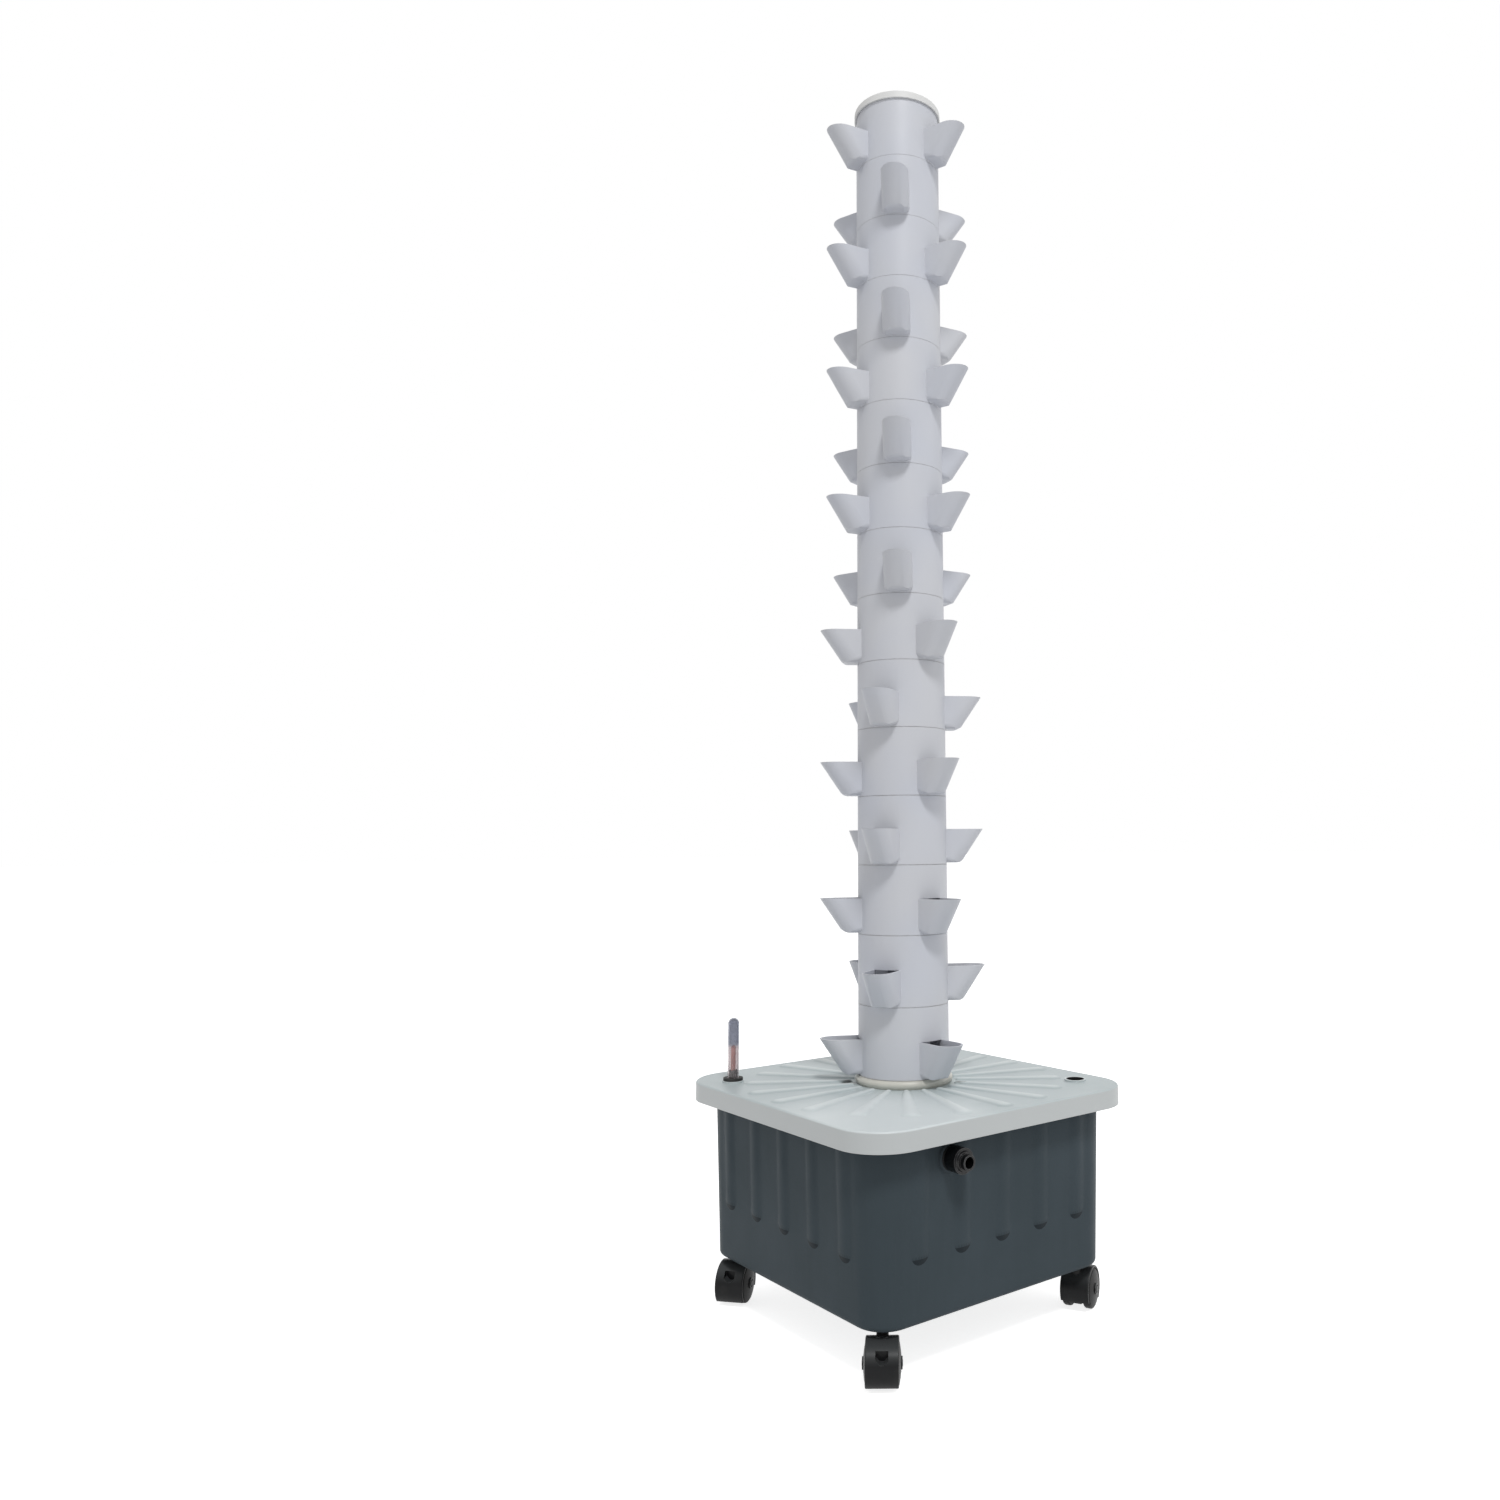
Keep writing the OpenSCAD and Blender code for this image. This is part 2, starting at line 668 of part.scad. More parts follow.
// Slotted cover over the pump's intake, which also steadies the front of the shaft
module pump_strainer() {
    wall = strainer_wall;
    slot = 3;
    slots = 7;
    step_in = 2;
    slot_margin = 3;
    bush_back = 3;
    width = pump_size[0] - 2 * step_in;
    height = pump_size[2] - 2 * step_in;
    slot_pitch = width / (slots + 0.5);
    slot_height = height - 2 * wall - 2 * slot_margin;
    bridge = 8;
    color("darkslategray") translate([0, strainer_front, pump_z + step_in]) difference() {
        union() {
            difference() {
                translate([-width / 2, 0, 0]) cube([width, strainer_depth, height]);
                translate([-width / 2 + wall, wall, wall])
                    cube([width - 2 * wall, strainer_depth, height - 2 * wall]);
                for (i = [0 : slots - 1])
                    translate([(i - (slots - 1) / 2) * slot_pitch - slot / 2, -1, wall + slot_margin])
                        cube([slot, wall + 2, slot_height]);
            }
            translate([-bridge / 2, 0, 0]) cube([bridge, wall, height]);
            translate([0, 0, height / 2]) rotate([-90, 0, 0])
                cylinder(h = strainer_depth - bush_back, r = bridge / 2);
        }
        translate([0, wall, height / 2]) rotate([-90, 0, 0])
            cylinder(h = strainer_depth, r = pump_shaft_r + running_gap);
    }
}

// Magnet rotor and vaned disc, turned by the coil round the rotor's well
module pump_impeller() {
    disc = 2;
    disc_r = chamber_r - 2;
    vane = 1.6;
    vane_from = 2.5;
    hub = 3.8;
    disc_y = pump_front + chamber_depth - disc - seat_gap;
    rotor_end = disc + rotor_length - 1;
    color("steelblue") translate([0, disc_y, pump_axis_z]) rotate([-90, 0, 0]) difference() {
        union() {
            cylinder(h = rotor_end, r = rotor_r);
            cylinder(h = disc, r = disc_r);
            for (i = [0 : vane_count - 1]) rotate(i * 360 / vane_count)
                translate([vane_from, -vane / 2, -vane_height])
                    cube([disc_r - vane_from - 0.5, vane, vane_height + 1]);
            translate([0, 0, -vane_height]) cylinder(h = vane_height + 1, r = hub);
        }
        translate([0, 0, -vane_height - 1])
            cylinder(h = vane_height + rotor_end + 2, r = pump_shaft_r + running_gap);
    }
}

module pump_shaft() {
    front = strainer_front + strainer_wall + seat_gap;
    back = well_end + shaft_socket - 1;
    color("silver") translate([0, front, pump_axis_z]) rotate([-90, 0, 0])
        cylinder(h = back - front, r = pump_shaft_r);
}

// Four suction cups under the pump
module pump_feet() {
    cup_r = 9;
    cup_wall = 2;
    cup_hollow = 1.2;
    inset = cup_r + cup_wall;
    color("black")
    for (x = [-1, 1]) for (y = [pump_front + inset, pump_front + pump_size[1] - inset])
        translate([x * (pump_size[0] / 2 - inset), y, floor_z + seat_gap]) difference() {
            cylinder(h = pump_foot - 2 * seat_gap, r1 = cup_r, r2 = cup_r / 2);
            translate([0, 0, -1]) cylinder(h = cup_hollow + 1, r = cup_r - cup_wall);
        }
}

module gauge_grommet() {
    plug = lid_thickness + port_rise + 3;
    flange_r = port_r + 1.5;
    color("black") translate([gauge_at[0], gauge_at[1], grommet_z]) difference() {
        union() {
            cylinder(h = grommet_flange, r = flange_r);
            translate([0, 0, -plug]) cylinder(h = plug + 1, r = port_r - running_gap);
            cylinder(h = grommet_flange + grommet_neck, r = neck_r);
        }
        translate([0, 0, -plug - 1]) cylinder(h = plug + grommet_flange + grommet_neck + 2, r = neck_bore_r);
    }
}

module gauge_tube() {
    color([0.8, 0.86, 0.9, 0.5]) translate([gauge_at[0], gauge_at[1], tube_z]) difference() {
        union() {
            cylinder(h = gauge_height - gauge_r, r = gauge_r);
            translate([0, 0, gauge_height - gauge_r]) sphere(r = gauge_r);
        }
        translate([0, 0, -1]) cylinder(h = gauge_height - gauge_r + 1, r = gauge_r - gauge_wall);
        translate([0, 0, gauge_height - gauge_r]) sphere(r = gauge_r - gauge_wall);
    }
}

// Slim float with the red rod that shows the water level in the tube
module gauge_float() {
    tip = lid_z + float_rod_tip;
    color("firebrick") translate([gauge_at[0], gauge_at[1], float_top]) {
        translate([0, 0, -1]) cylinder(h = tip - float_top + 1 - float_rod_r, r = float_rod_r);
        translate([0, 0, tip - float_top - float_rod_r]) sphere(r = float_rod_r);
        translate([0, 0, -float_length]) cylinder(h = float_length, r = float_r);
    }
}

// Parts of the inlet valve share its axis, which runs in from the outside along +Y
module on_valve_axis(y) {
    translate([-valve_offset, y, valve_z]) rotate([-90, 0, 0]) children();
}

module valve_body() {
    body_y = -pad_y - gasket_t - 2 * seat_gap - valve_length;
    shank_end = -pivot_y - 9;
    shoulder = 3;
    ear_length = 17;
    ear_height = 12;
    color([0.12, 0.12, 0.12]) difference() {
        union() {
            on_valve_axis(body_y) {
                cylinder(h = valve_length, r = valve_r);
                translate([0, 0, -nipple_length]) cylinder(h = nipple_length + 1, r = nipple_r);
                translate([0, 0, -shoulder])
                    cylinder(h = shoulder + 1, r1 = nipple_r + 2, r2 = valve_r - 2);
            }
            on_valve_axis(body_y + 1) cylinder(h = shank_end - body_y, r = shank_r);
            translate([-valve_offset - clevis_width / 2, shank_end - 1, valve_z - ear_height / 2])
                cube([clevis_width, ear_length, ear_height]);
        }
        translate([-valve_offset - clevis_gap / 2, shank_end + 1, valve_z - ear_height / 2 - 1])
            cube([clevis_gap, ear_length, ear_height + 2]);
        translate([-valve_offset, -pivot_y, valve_z]) rotate([0, 90, 0])
            cylinder(h = clevis_width + 2, r = pivot_r + running_gap, center = true);
        on_valve_axis(body_y - nipple_length - 1)
            cylinder(h = nipple_length + valve_length, r = nipple_r - 2);
    }
}

module valve_gasket() {
    color("black") on_valve_axis(-pad_y - gasket_t - seat_gap) difference() {
        cylinder(h = gasket_t, r = valve_r);
        translate([0, 0, -1]) cylinder(h = gasket_t + 2, r = shank_r + plug_gap);
    }
}

module valve_nut() {
    inner_wall_y = wall_y - tank_wall;
    // The wall leans, so that the nut stands off it by a little more than a seat
    stand_off = 0.8;
    color([0.18, 0.18, 0.18]) on_valve_axis(-inner_wall_y + stand_off) difference() {
        cylinder(h = nut_t, r = shank_r + nut_round, $fn = 6);
        translate([0, 0, -1]) cylinder(h = nut_t + 2, r = shank_r + running_gap);
    }
}

module valve_pin() {
    color("silver") translate([-valve_offset, -pivot_y, valve_z]) rotate([0, 90, 0])
        cylinder(h = clevis_width + 2, r = pivot_r, center = true);
}

// Lever from the pivot to the ball, with its closing cam at the valve's seat
module valve_arm() {
    eye_r = 4.5;
    color("gold") difference() {
        union() {
            translate([-valve_offset, -pivot_y, valve_z]) rotate([0, 90, 0])
                cylinder(h = arm_t, r = eye_r, center = true);
            translate([-valve_offset - arm_t / 2, -pivot_y, valve_z - arm_t / 2])
                cube([arm_t, arm_length - ball_r + ball_socket - 1, arm_t]);
        }
        translate([-valve_offset, -pivot_y, valve_z]) rotate([0, 90, 0])
            cylinder(h = arm_t + 2, r = pivot_r + running_gap, center = true);
    }
}

module valve_ball() {
    slot = arm_t + 2 * running_gap;
    color("orangered") translate([-valve_offset, -pivot_y + arm_length, valve_z]) difference() {
        sphere(r = ball_r);
        translate([-slot / 2, -ball_r - 1, -slot / 2]) cube([slot, ball_socket + 1, slot]);
    }
}

// Castor pieces stand at the stem's axis and trail along +X
module castor_place(i) {
    s = corner_signs[i];
    translate([s[0] * stem_at, s[1] * stem_at, 0]) rotate(castor_turns[i]) children();
}

module castor_stem(i) {
    chamfer = 1;
    flange = 1;
    head = tank_z + stem_head - stem_foot - stem_end_gap;
    color("silver") castor_place(i) translate([0, 0, stem_foot]) {
        cylinder(h = head, r = stem_r);
        translate([0, 0, head - eps]) cylinder(h = chamfer, r1 = stem_r, r2 = stem_r - chamfer);
        translate([0, 0, tank_z - stem_foot - seat_gap - flange]) cylinder(h = flange, r = stem_r + 1.2);
    }
}

// Hood over both wheels with the web that holds the axle and the swivel bore
module castor_hood(i) {
    sweep_from = -42;
    sweep_to = 205;
    web_foot = 9.5;
    boss_r = web_width / 2 - 1;
    boss_depth = 4;
    corner = 1.4;
    recess_x = castor_trail + hood_r - 12;
    recess_half = [2, 6.5];
    recess_z = [wheel_r + 7, wheel_r + 11, wheel_r + 18];
    color([0.1, 0.1, 0.1]) castor_place(i) difference() {
        union() {
            translate([castor_trail, 0, wheel_r]) rotate([90, 0, 0]) rotate(sweep_from)
                rotate_extrude(angle = sweep_to - sweep_from) {
                    translate([hood_in_r, -hood_edge_y + corner])
                        square([hood_wall, 2 * (hood_edge_y - corner)]);
                    translate([hood_in_r, -hood_edge_y]) square([hood_wall - corner, 2 * hood_edge_y]);
                    for (y = [-1, 1]) translate([hood_r - corner, y * (hood_edge_y - corner)])
                        circle(r = corner);
                }
            intersection() {
                translate([castor_trail, 0, wheel_r]) rotate([90, 0, 0])
                    cylinder(h = web_width, r = hood_in_r + hood_wall / 2, center = true);
                translate([-hood_r, -web_width, web_foot]) cube([4 * hood_r, 2 * web_width, 2 * hood_r]);
            }
            translate([0, 0, stem_foot - boss_depth])
                cylinder(h = castor_top - stem_foot + boss_depth, r = boss_r);
        }
        translate([0, 0, stem_foot - seat_gap]) cylinder(h = castor_top, r = stem_r + running_gap);
        translate([castor_trail, 0, wheel_r]) rotate([90, 0, 0])
            cylinder(h = web_width + 2, r = axle_r + running_gap, center = true);
        translate([recess_x, 0, 0]) rotate([90, 0, 90]) linear_extrude(height = hood_r)
            polygon([
                [-recess_half[1], recess_z[2]],
                [recess_half[1], recess_z[2]],
                [recess_half[1], recess_z[1]],
                [recess_half[0], recess_z[0]],
                [-recess_half[0], recess_z[0]],
                [-recess_half[1], recess_z[1]]
            ]);
    }
}

module castor_axle(i) {
    color("silver") castor_place(i) translate([castor_trail, 0, wheel_r]) rotate([90, 0, 0])
        cylinder(h = 2 * axle_half, r = axle_r, center = true);
}

// Wheel with a rounded tread and a crowned outer face, on the side that side names
module castor_wheel(i, side) {
    round_r = 2;
    crown_r = crest_radius(wheel_r, wheel_dome);
    rim_width = wheel_width - wheel_dome;
    color([0.16, 0.16, 0.16]) castor_place(i) translate([castor_trail, 0, wheel_r])
        rotate([side > 0 ? -90 : 90, 0, 0]) translate([0, 0, wheel_inner_y]) rotate_extrude() difference() {
            union() {
                translate([0, 0]) square([wheel_r - round_r, rim_width]);
                translate([0, round_r]) square([wheel_r, rim_width - 2 * round_r]);
                for (y = [round_r, rim_width - round_r])
                    translate([wheel_r - round_r, y]) circle(r = round_r);
                intersection() {
                    translate([0, wheel_width - crown_r]) circle(r = crown_r, $fn = 720);
                    translate([0, 1]) square([wheel_r - round_r, wheel_width]);
                }
            }
            translate([-wheel_r, -1]) square([wheel_r, wheel_width + 2]);
            translate([0, -hub_cover]) square([axle_r + running_gap, wheel_width]);
        }
}

tank();
lid();
collar();
for (n = [1 : tier_count]) tier(n);
top_cap();
distributor();
riser_pipe();
pump_case();
pump_strainer();
pump_impeller();
pump_shaft();
pump_feet();
gauge_grommet();
gauge_tube();
gauge_float();
valve_body();
valve_gasket();
valve_nut();
valve_arm();
valve_pin();
valve_ball();
for (i = [0 : 3]) castor_stem(i);
for (i = [0 : 3]) castor_hood(i);
for (i = [0 : 3]) castor_axle(i);
for (i = [0 : 3]) castor_wheel(i, 1);
for (i = [0 : 3]) castor_wheel(i, -1);
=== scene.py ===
"""Hydroponic tower: finishes, fine detail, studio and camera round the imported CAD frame."""

import logging
import math
from dataclasses import dataclass, field
from enum import Enum
from typing import Callable, Iterable, Optional, Union

import bmesh
import bpy
from mathutils import Matrix, Vector


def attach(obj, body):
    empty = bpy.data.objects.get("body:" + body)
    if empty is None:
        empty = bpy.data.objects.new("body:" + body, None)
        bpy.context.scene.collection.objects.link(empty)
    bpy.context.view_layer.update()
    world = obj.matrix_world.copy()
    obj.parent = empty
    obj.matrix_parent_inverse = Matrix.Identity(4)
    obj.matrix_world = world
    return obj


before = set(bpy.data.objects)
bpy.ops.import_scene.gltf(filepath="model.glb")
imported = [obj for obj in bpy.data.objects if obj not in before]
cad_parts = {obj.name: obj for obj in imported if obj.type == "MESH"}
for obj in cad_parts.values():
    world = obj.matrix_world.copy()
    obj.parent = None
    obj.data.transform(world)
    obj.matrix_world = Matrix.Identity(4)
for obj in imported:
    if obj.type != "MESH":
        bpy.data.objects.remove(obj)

logging.basicConfig(level=logging.INFO, format="%(name)s: %(message)s")
log = logging.getLogger("tower")

Colour = tuple[float, float, float]
Point = tuple[float, float, float]
Value = Union[float, "Signal"]
CORNERS: tuple[str, ...] = ("front_left", "front_right", "back_left", "back_right")
NOISE_ROUGHNESS = 0.55
BEVEL_SAMPLES = 6
# Departure of the rounded normal from the flat one, from where an edge starts to where it is full
EDGE_BAND: tuple[float, float] = (0.01, 0.12)


# ---------------------------------------------------------------- shader graph


class Signal:
    """One output socket of a shader node, with arithmetic that adds Math nodes."""

    def __init__(self, graph: "Graph", socket: bpy.types.NodeSocket) -> None:
        """Wraps a socket.

        Args:
            graph: The graph that the socket's node belongs to.
            socket: The output socket.
        """
        self.graph = graph
        self.socket = socket

    def __add__(self, other: Value) -> "Signal":
        """Sum of two values."""
        return self.graph.math("ADD", self, other)

    def __radd__(self, other: Value) -> "Signal":
        """Sum of two values."""
        return self.graph.math("ADD", other, self)

    def __sub__(self, other: Value) -> "Signal":
        """Difference of two values."""
        return self.graph.math("SUBTRACT", self, other)

    def __rsub__(self, other: Value) -> "Signal":
        """Difference of two values."""
        return self.graph.math("SUBTRACT", other, self)

    def __mul__(self, other: Value) -> "Signal":
        """Product of two values."""
        return self.graph.math("MULTIPLY", self, other)

    def __rmul__(self, other: Value) -> "Signal":
        """Product of two values."""
        return self.graph.math("MULTIPLY", other, self)

    def __truediv__(self, other: Value) -> "Signal":
        """Quotient of two values."""
        return self.graph.math("DIVIDE", self, other)

    def clamp(self) -> "Signal":
        """The value held between 0 and 1."""
        return self.graph.math("ADD", self, 0.0, clamp=True)

    def band(self, low: float, high: float) -> "Signal":
        """A smooth step over a range.

        Args:
            low: Value that gives 0.
            high: Value that gives 1.

        Returns:
            The step, between 0 and 1.
        """
        node = self.graph.node(
            "ShaderNodeMapRange",
            {"interpolation_type": "SMOOTHSTEP"},
            {"Value": self, "From Min": low, "From Max": high, "To Min": 0.0, "To Max": 1.0},
        )
        return Signal(self.graph, node.outputs["Result"])


class Graph:
    """Node tree of one material, with a Principled BSDF at its end."""

    def __init__(self, name: str) -> None:
        """Makes an empty material.

        Args:
            name: The material's name.
        """
        self.material = bpy.data.materials.new(name)
        self.material.use_nodes = True
        self.tree = self.material.node_tree
        self.tree.nodes.clear()
        self.output = self.tree.nodes.new("ShaderNodeOutputMaterial")
        self.coords = self.node("ShaderNodeTexCoord", {}, {})

    def node(self, kind: str, settings: dict, inputs: dict) -> bpy.types.Node:
        """Adds a node.

        Args:
            kind: The node's type name.
            settings: Attributes that are set first, such as an operation.
            inputs: Values or signals by socket name or index.

        Returns:
            The node.
        """
        made = self.tree.nodes.new(kind)
        for key, value in settings.items():
            setattr(made, key, value)
        for key, value in inputs.items():
            self.feed(made.inputs[key], value)
        return made

    def feed(self, socket: bpy.types.NodeSocket, value: object) -> None:
        """Links or sets an input socket.

        Args:
            socket: The input.
            value: A signal, a number, a colour or a vector.
        """
        if isinstance(value, Signal):
            self.tree.links.new(value.socket, socket)
        elif isinstance(value, tuple) and socket.type == "RGBA":
            socket.default_value = (*value[:3], 1.0)
        else:
            socket.default_value = value

    def math(
        self, operation: str, first: Value, second: Value = 0.0, clamp: bool = False
    ) -> Signal:
        """Adds a Math node.

        Args:
            operation: The node's operation.
            first: First value.
            second: Second value.
            clamp: Whether the result is held between 0 and 1.

        Returns:
            The result.
        """
        settings = {"operation": operation, "use_clamp": clamp}
        made = self.node("ShaderNodeMath", settings, {0: first, 1: second})
        return Signal(self, made.outputs[0])

    def place(self, scale: Point = (1.0, 1.0, 1.0)) -> Signal:
        """Object coordinates in metres, stretched.

        Args:
            scale: Factor along each axis.

        Returns:
            The coordinates.
        """
        inputs = {"Vector": Signal(self, self.coords.outputs["Object"]), "Scale": scale}
        made = self.node("ShaderNodeMapping", {}, inputs)
        return Signal(self, made.outputs["Vector"])

    def axes(self, source: bpy.types.NodeSocket) -> tuple[Signal, Signal, Signal]:
        """Splits a vector socket into its three parts.

        Args:
            source: The socket.

        Returns:
            The parts along X, Y and Z.
        """
        made = self.node("ShaderNodeSeparateXYZ", {}, {0: Signal(self, source)})
        return tuple(Signal(self, made.outputs[axis]) for axis in "XYZ")

    def height(self) -> Signal:
        """Height above the floor in metres."""
        return self.axes(self.coords.outputs["Object"])[2]

    def turned_down(self) -> Signal:
        """How far the surface faces down: 1 on an underside, 0 on an upright wall."""
        flat = self.node("ShaderNodeNewGeometry", {}, {})
        return 0.0 - self.axes(flat.outputs["True Normal"])[2]

    def reach(self, centre: tuple[float, float] = (0.0, 0.0)) -> Signal:
        """Distance in metres from an upright axis.

        Args:
            centre: Where the axis stands, on the column's own axis by default.

        Returns:
            The distance.
        """
        along_x, along_y, _ = self.axes(self.coords.outputs["Object"])
        x, y = along_x - centre[0], along_y - centre[1]
        return self.math("SQRT", x * x + y * y)

    def noise(self, scale: float, detail: float = 3.0, stretch: Point = (1.0, 1.0, 1.0)) -> Signal:
        """Noise between 0 and 1.

        Args:
            scale: Cells per metre.
            detail: Octaves.
            stretch: Factor on the coordinates along each axis.

        Returns:
            The noise.
        """
        inputs = {
            "Vector": self.place(stretch),
            "Scale": scale,
            "Detail": detail,
            "Roughness": NOISE_ROUGHNESS,
        }
        made = self.node("ShaderNodeTexNoise", {}, inputs)
        return Signal(self, made.outputs["Fac"])

    def cells(self, scale: float) -> Signal:
        """Distance to the nearest of scattered points, from 0 at a point.

        Args:
            scale: Cells per metre.

        Returns:
            The distance, in cells.
        """
        made = self.node("ShaderNodeTexVoronoi", {}, {"Vector": self.place(), "Scale": scale})
        return Signal(self, made.outputs["Distance"])

    def mix(self, amount: Value, first: object, second: object) -> Signal:
        """Mixes two colours.

        Args:
            amount: Share of the second colour.
            first: First colour.
            second: Second colour.

        Returns:
            The colour.
        """
        made = self.node("ShaderNodeMix", {"data_type": "RGBA"}, {0: amount, 6: first, 7: second})
        return Signal(self, made.outputs[2])

    def round_edges(self, radius: float) -> Signal:
        """Normal that rounds every edge by a radius in metres."""
        made = self.node("ShaderNodeBevel", {"samples": BEVEL_SAMPLES}, {"Radius": radius})
        return Signal(self, made.outputs["Normal"])

    def edges(self, radius: float) -> Signal:
        """Mask that is 1 on sharp edges.

        Args:
            radius: How far the mask reaches from an edge, in metres.

        Returns:
            The mask.
        """
        flat = self.node("ShaderNodeNewGeometry", {}, {})
        normals = {0: self.round_edges(radius), 1: Signal(self, flat.outputs["Normal"])}
        dot = self.node("ShaderNodeVectorMath", {"operation": "DOT_PRODUCT"}, normals)
        return (1.0 - Signal(self, dot.outputs["Value"])).band(*EDGE_BAND)

    def bump(self, relief: Signal, depth: float, normal: Optional[Signal] = None) -> Signal:
        """Relief on the surface.

        Args:
            relief: Height between 0 and 1.
            depth: Height of 1 in metres.
            normal: Normal that the relief is added to.

        Returns:
            The normal.
        """
        inputs: dict = {"Height": relief, "Distance": depth, "Strength": 1.0}
        if normal is not None:
            inputs["Normal"] = normal
        made = self.node("ShaderNodeBump", {}, inputs)
        return Signal(self, made.outputs["Normal"])

    def finish(self, **sockets: object) -> bpy.types.Material:
        """Ends the graph in a Principled BSDF.

        Args:
            sockets: Values or signals by socket name, with spaces as underscores.

        Returns:
            The material.
        """
        inputs = {key.replace("_", " "): value for key, value in sockets.items()}
        made = self.node("ShaderNodeBsdfPrincipled", {}, inputs)
        self.tree.links.new(made.outputs["BSDF"], self.output.inputs["Surface"])
        return self.material


# ---------------------------------------------------------------- finishes


@dataclass(frozen=True)
class ColumnWhite:
    """Glossy cool white moulding of the tiers and the cap, with grime in the seams and a painted
    highlight along its edges.
    """

    name: str = "column_white"
    cool: Colour = (0.585, 0.605, 0.665)
    warm: Colour = (0.61, 0.622, 0.66)
    grime: Colour = (0.36, 0.35, 0.35)
    first_seam: float = 0.268
    pitch: float = 0.0844
    top: float = 1.534
    seam_reach: float = 0.0016
    rim_highlight: Colour = (0.74, 0.75, 0.77)
    streak: Colour = (0.52, 0.52, 0.55)
    grime_share: float = 0.42
    speck_share: float = 0.25
    rim_highlight_share: float = 0.55
    rim_highlight_reach: float = 0.0009
    wall_radius: float = 0.0565
    edge_radius: float = 0.0007
    grain_depth: float = 0.00006
    roughness: float = 0.46
    specular: float = 0.4

    def build(self) -> bpy.types.Material:
        """Builds the material.

        Returns:
            The material.
        """
        g = Graph(self.name)
        blotch = g.noise(7.0, 2.0).band(0.35, 0.65)
        streaks = g.noise(60.0, 4.0, (1.0, 1.0, 0.06))
        colour = g.mix(blotch, self.cool, self.warm)
        colour = g.mix((streaks - 0.5) * 0.10 + 0.05, colour, self.streak)
        turn = g.math("FRACT", (g.height() - self.first_seam) / self.pitch)
        near = g.math("MINIMUM", turn, 1.0 - turn) * self.pitch
        seam = (1.0 - near.band(0.0, self.seam_reach)) * g.noise(90.0, 4.0).band(0.25, 0.6)
        on_wall = 1.0 - (g.reach() - self.wall_radius).band(0.0, 0.0005)
        low = 1.0 - (g.height() - self.first_seam).band(0.0, self.top - self.first_seam) * 0.7
        colour = g.mix(seam * on_wall * low * self.grime_share, colour, self.grime)
        specks = 1.0 - g.cells(160.0).band(0.03, 0.06)
        scattered = specks * g.noise(20.0).band(0.55, 0.7)
        colour = g.mix(scattered * self.speck_share, colour, self.grime)
        # Painted highlight: a paler tone along every edge, where the cup rims catch the light.
        colour = g.mix(g.edges(self.rim_highlight_reach) * self.rim_highlight_share, colour, self.rim_highlight)
        grain = g.noise(900.0, 3.0) * 0.4 + g.noise(120.0, 2.0) * 0.6
        return g.finish(
            Base_Color=colour,
            Roughness=(streaks - 0.5) * 0.12 + (g.noise(35.0, 5.0) - 0.5) * 0.16 + self.roughness,
            Specular_IOR_Level=self.specular,
            Normal=g.bump(grain, self.grain_depth, g.round_edges(self.edge_radius)),
        )


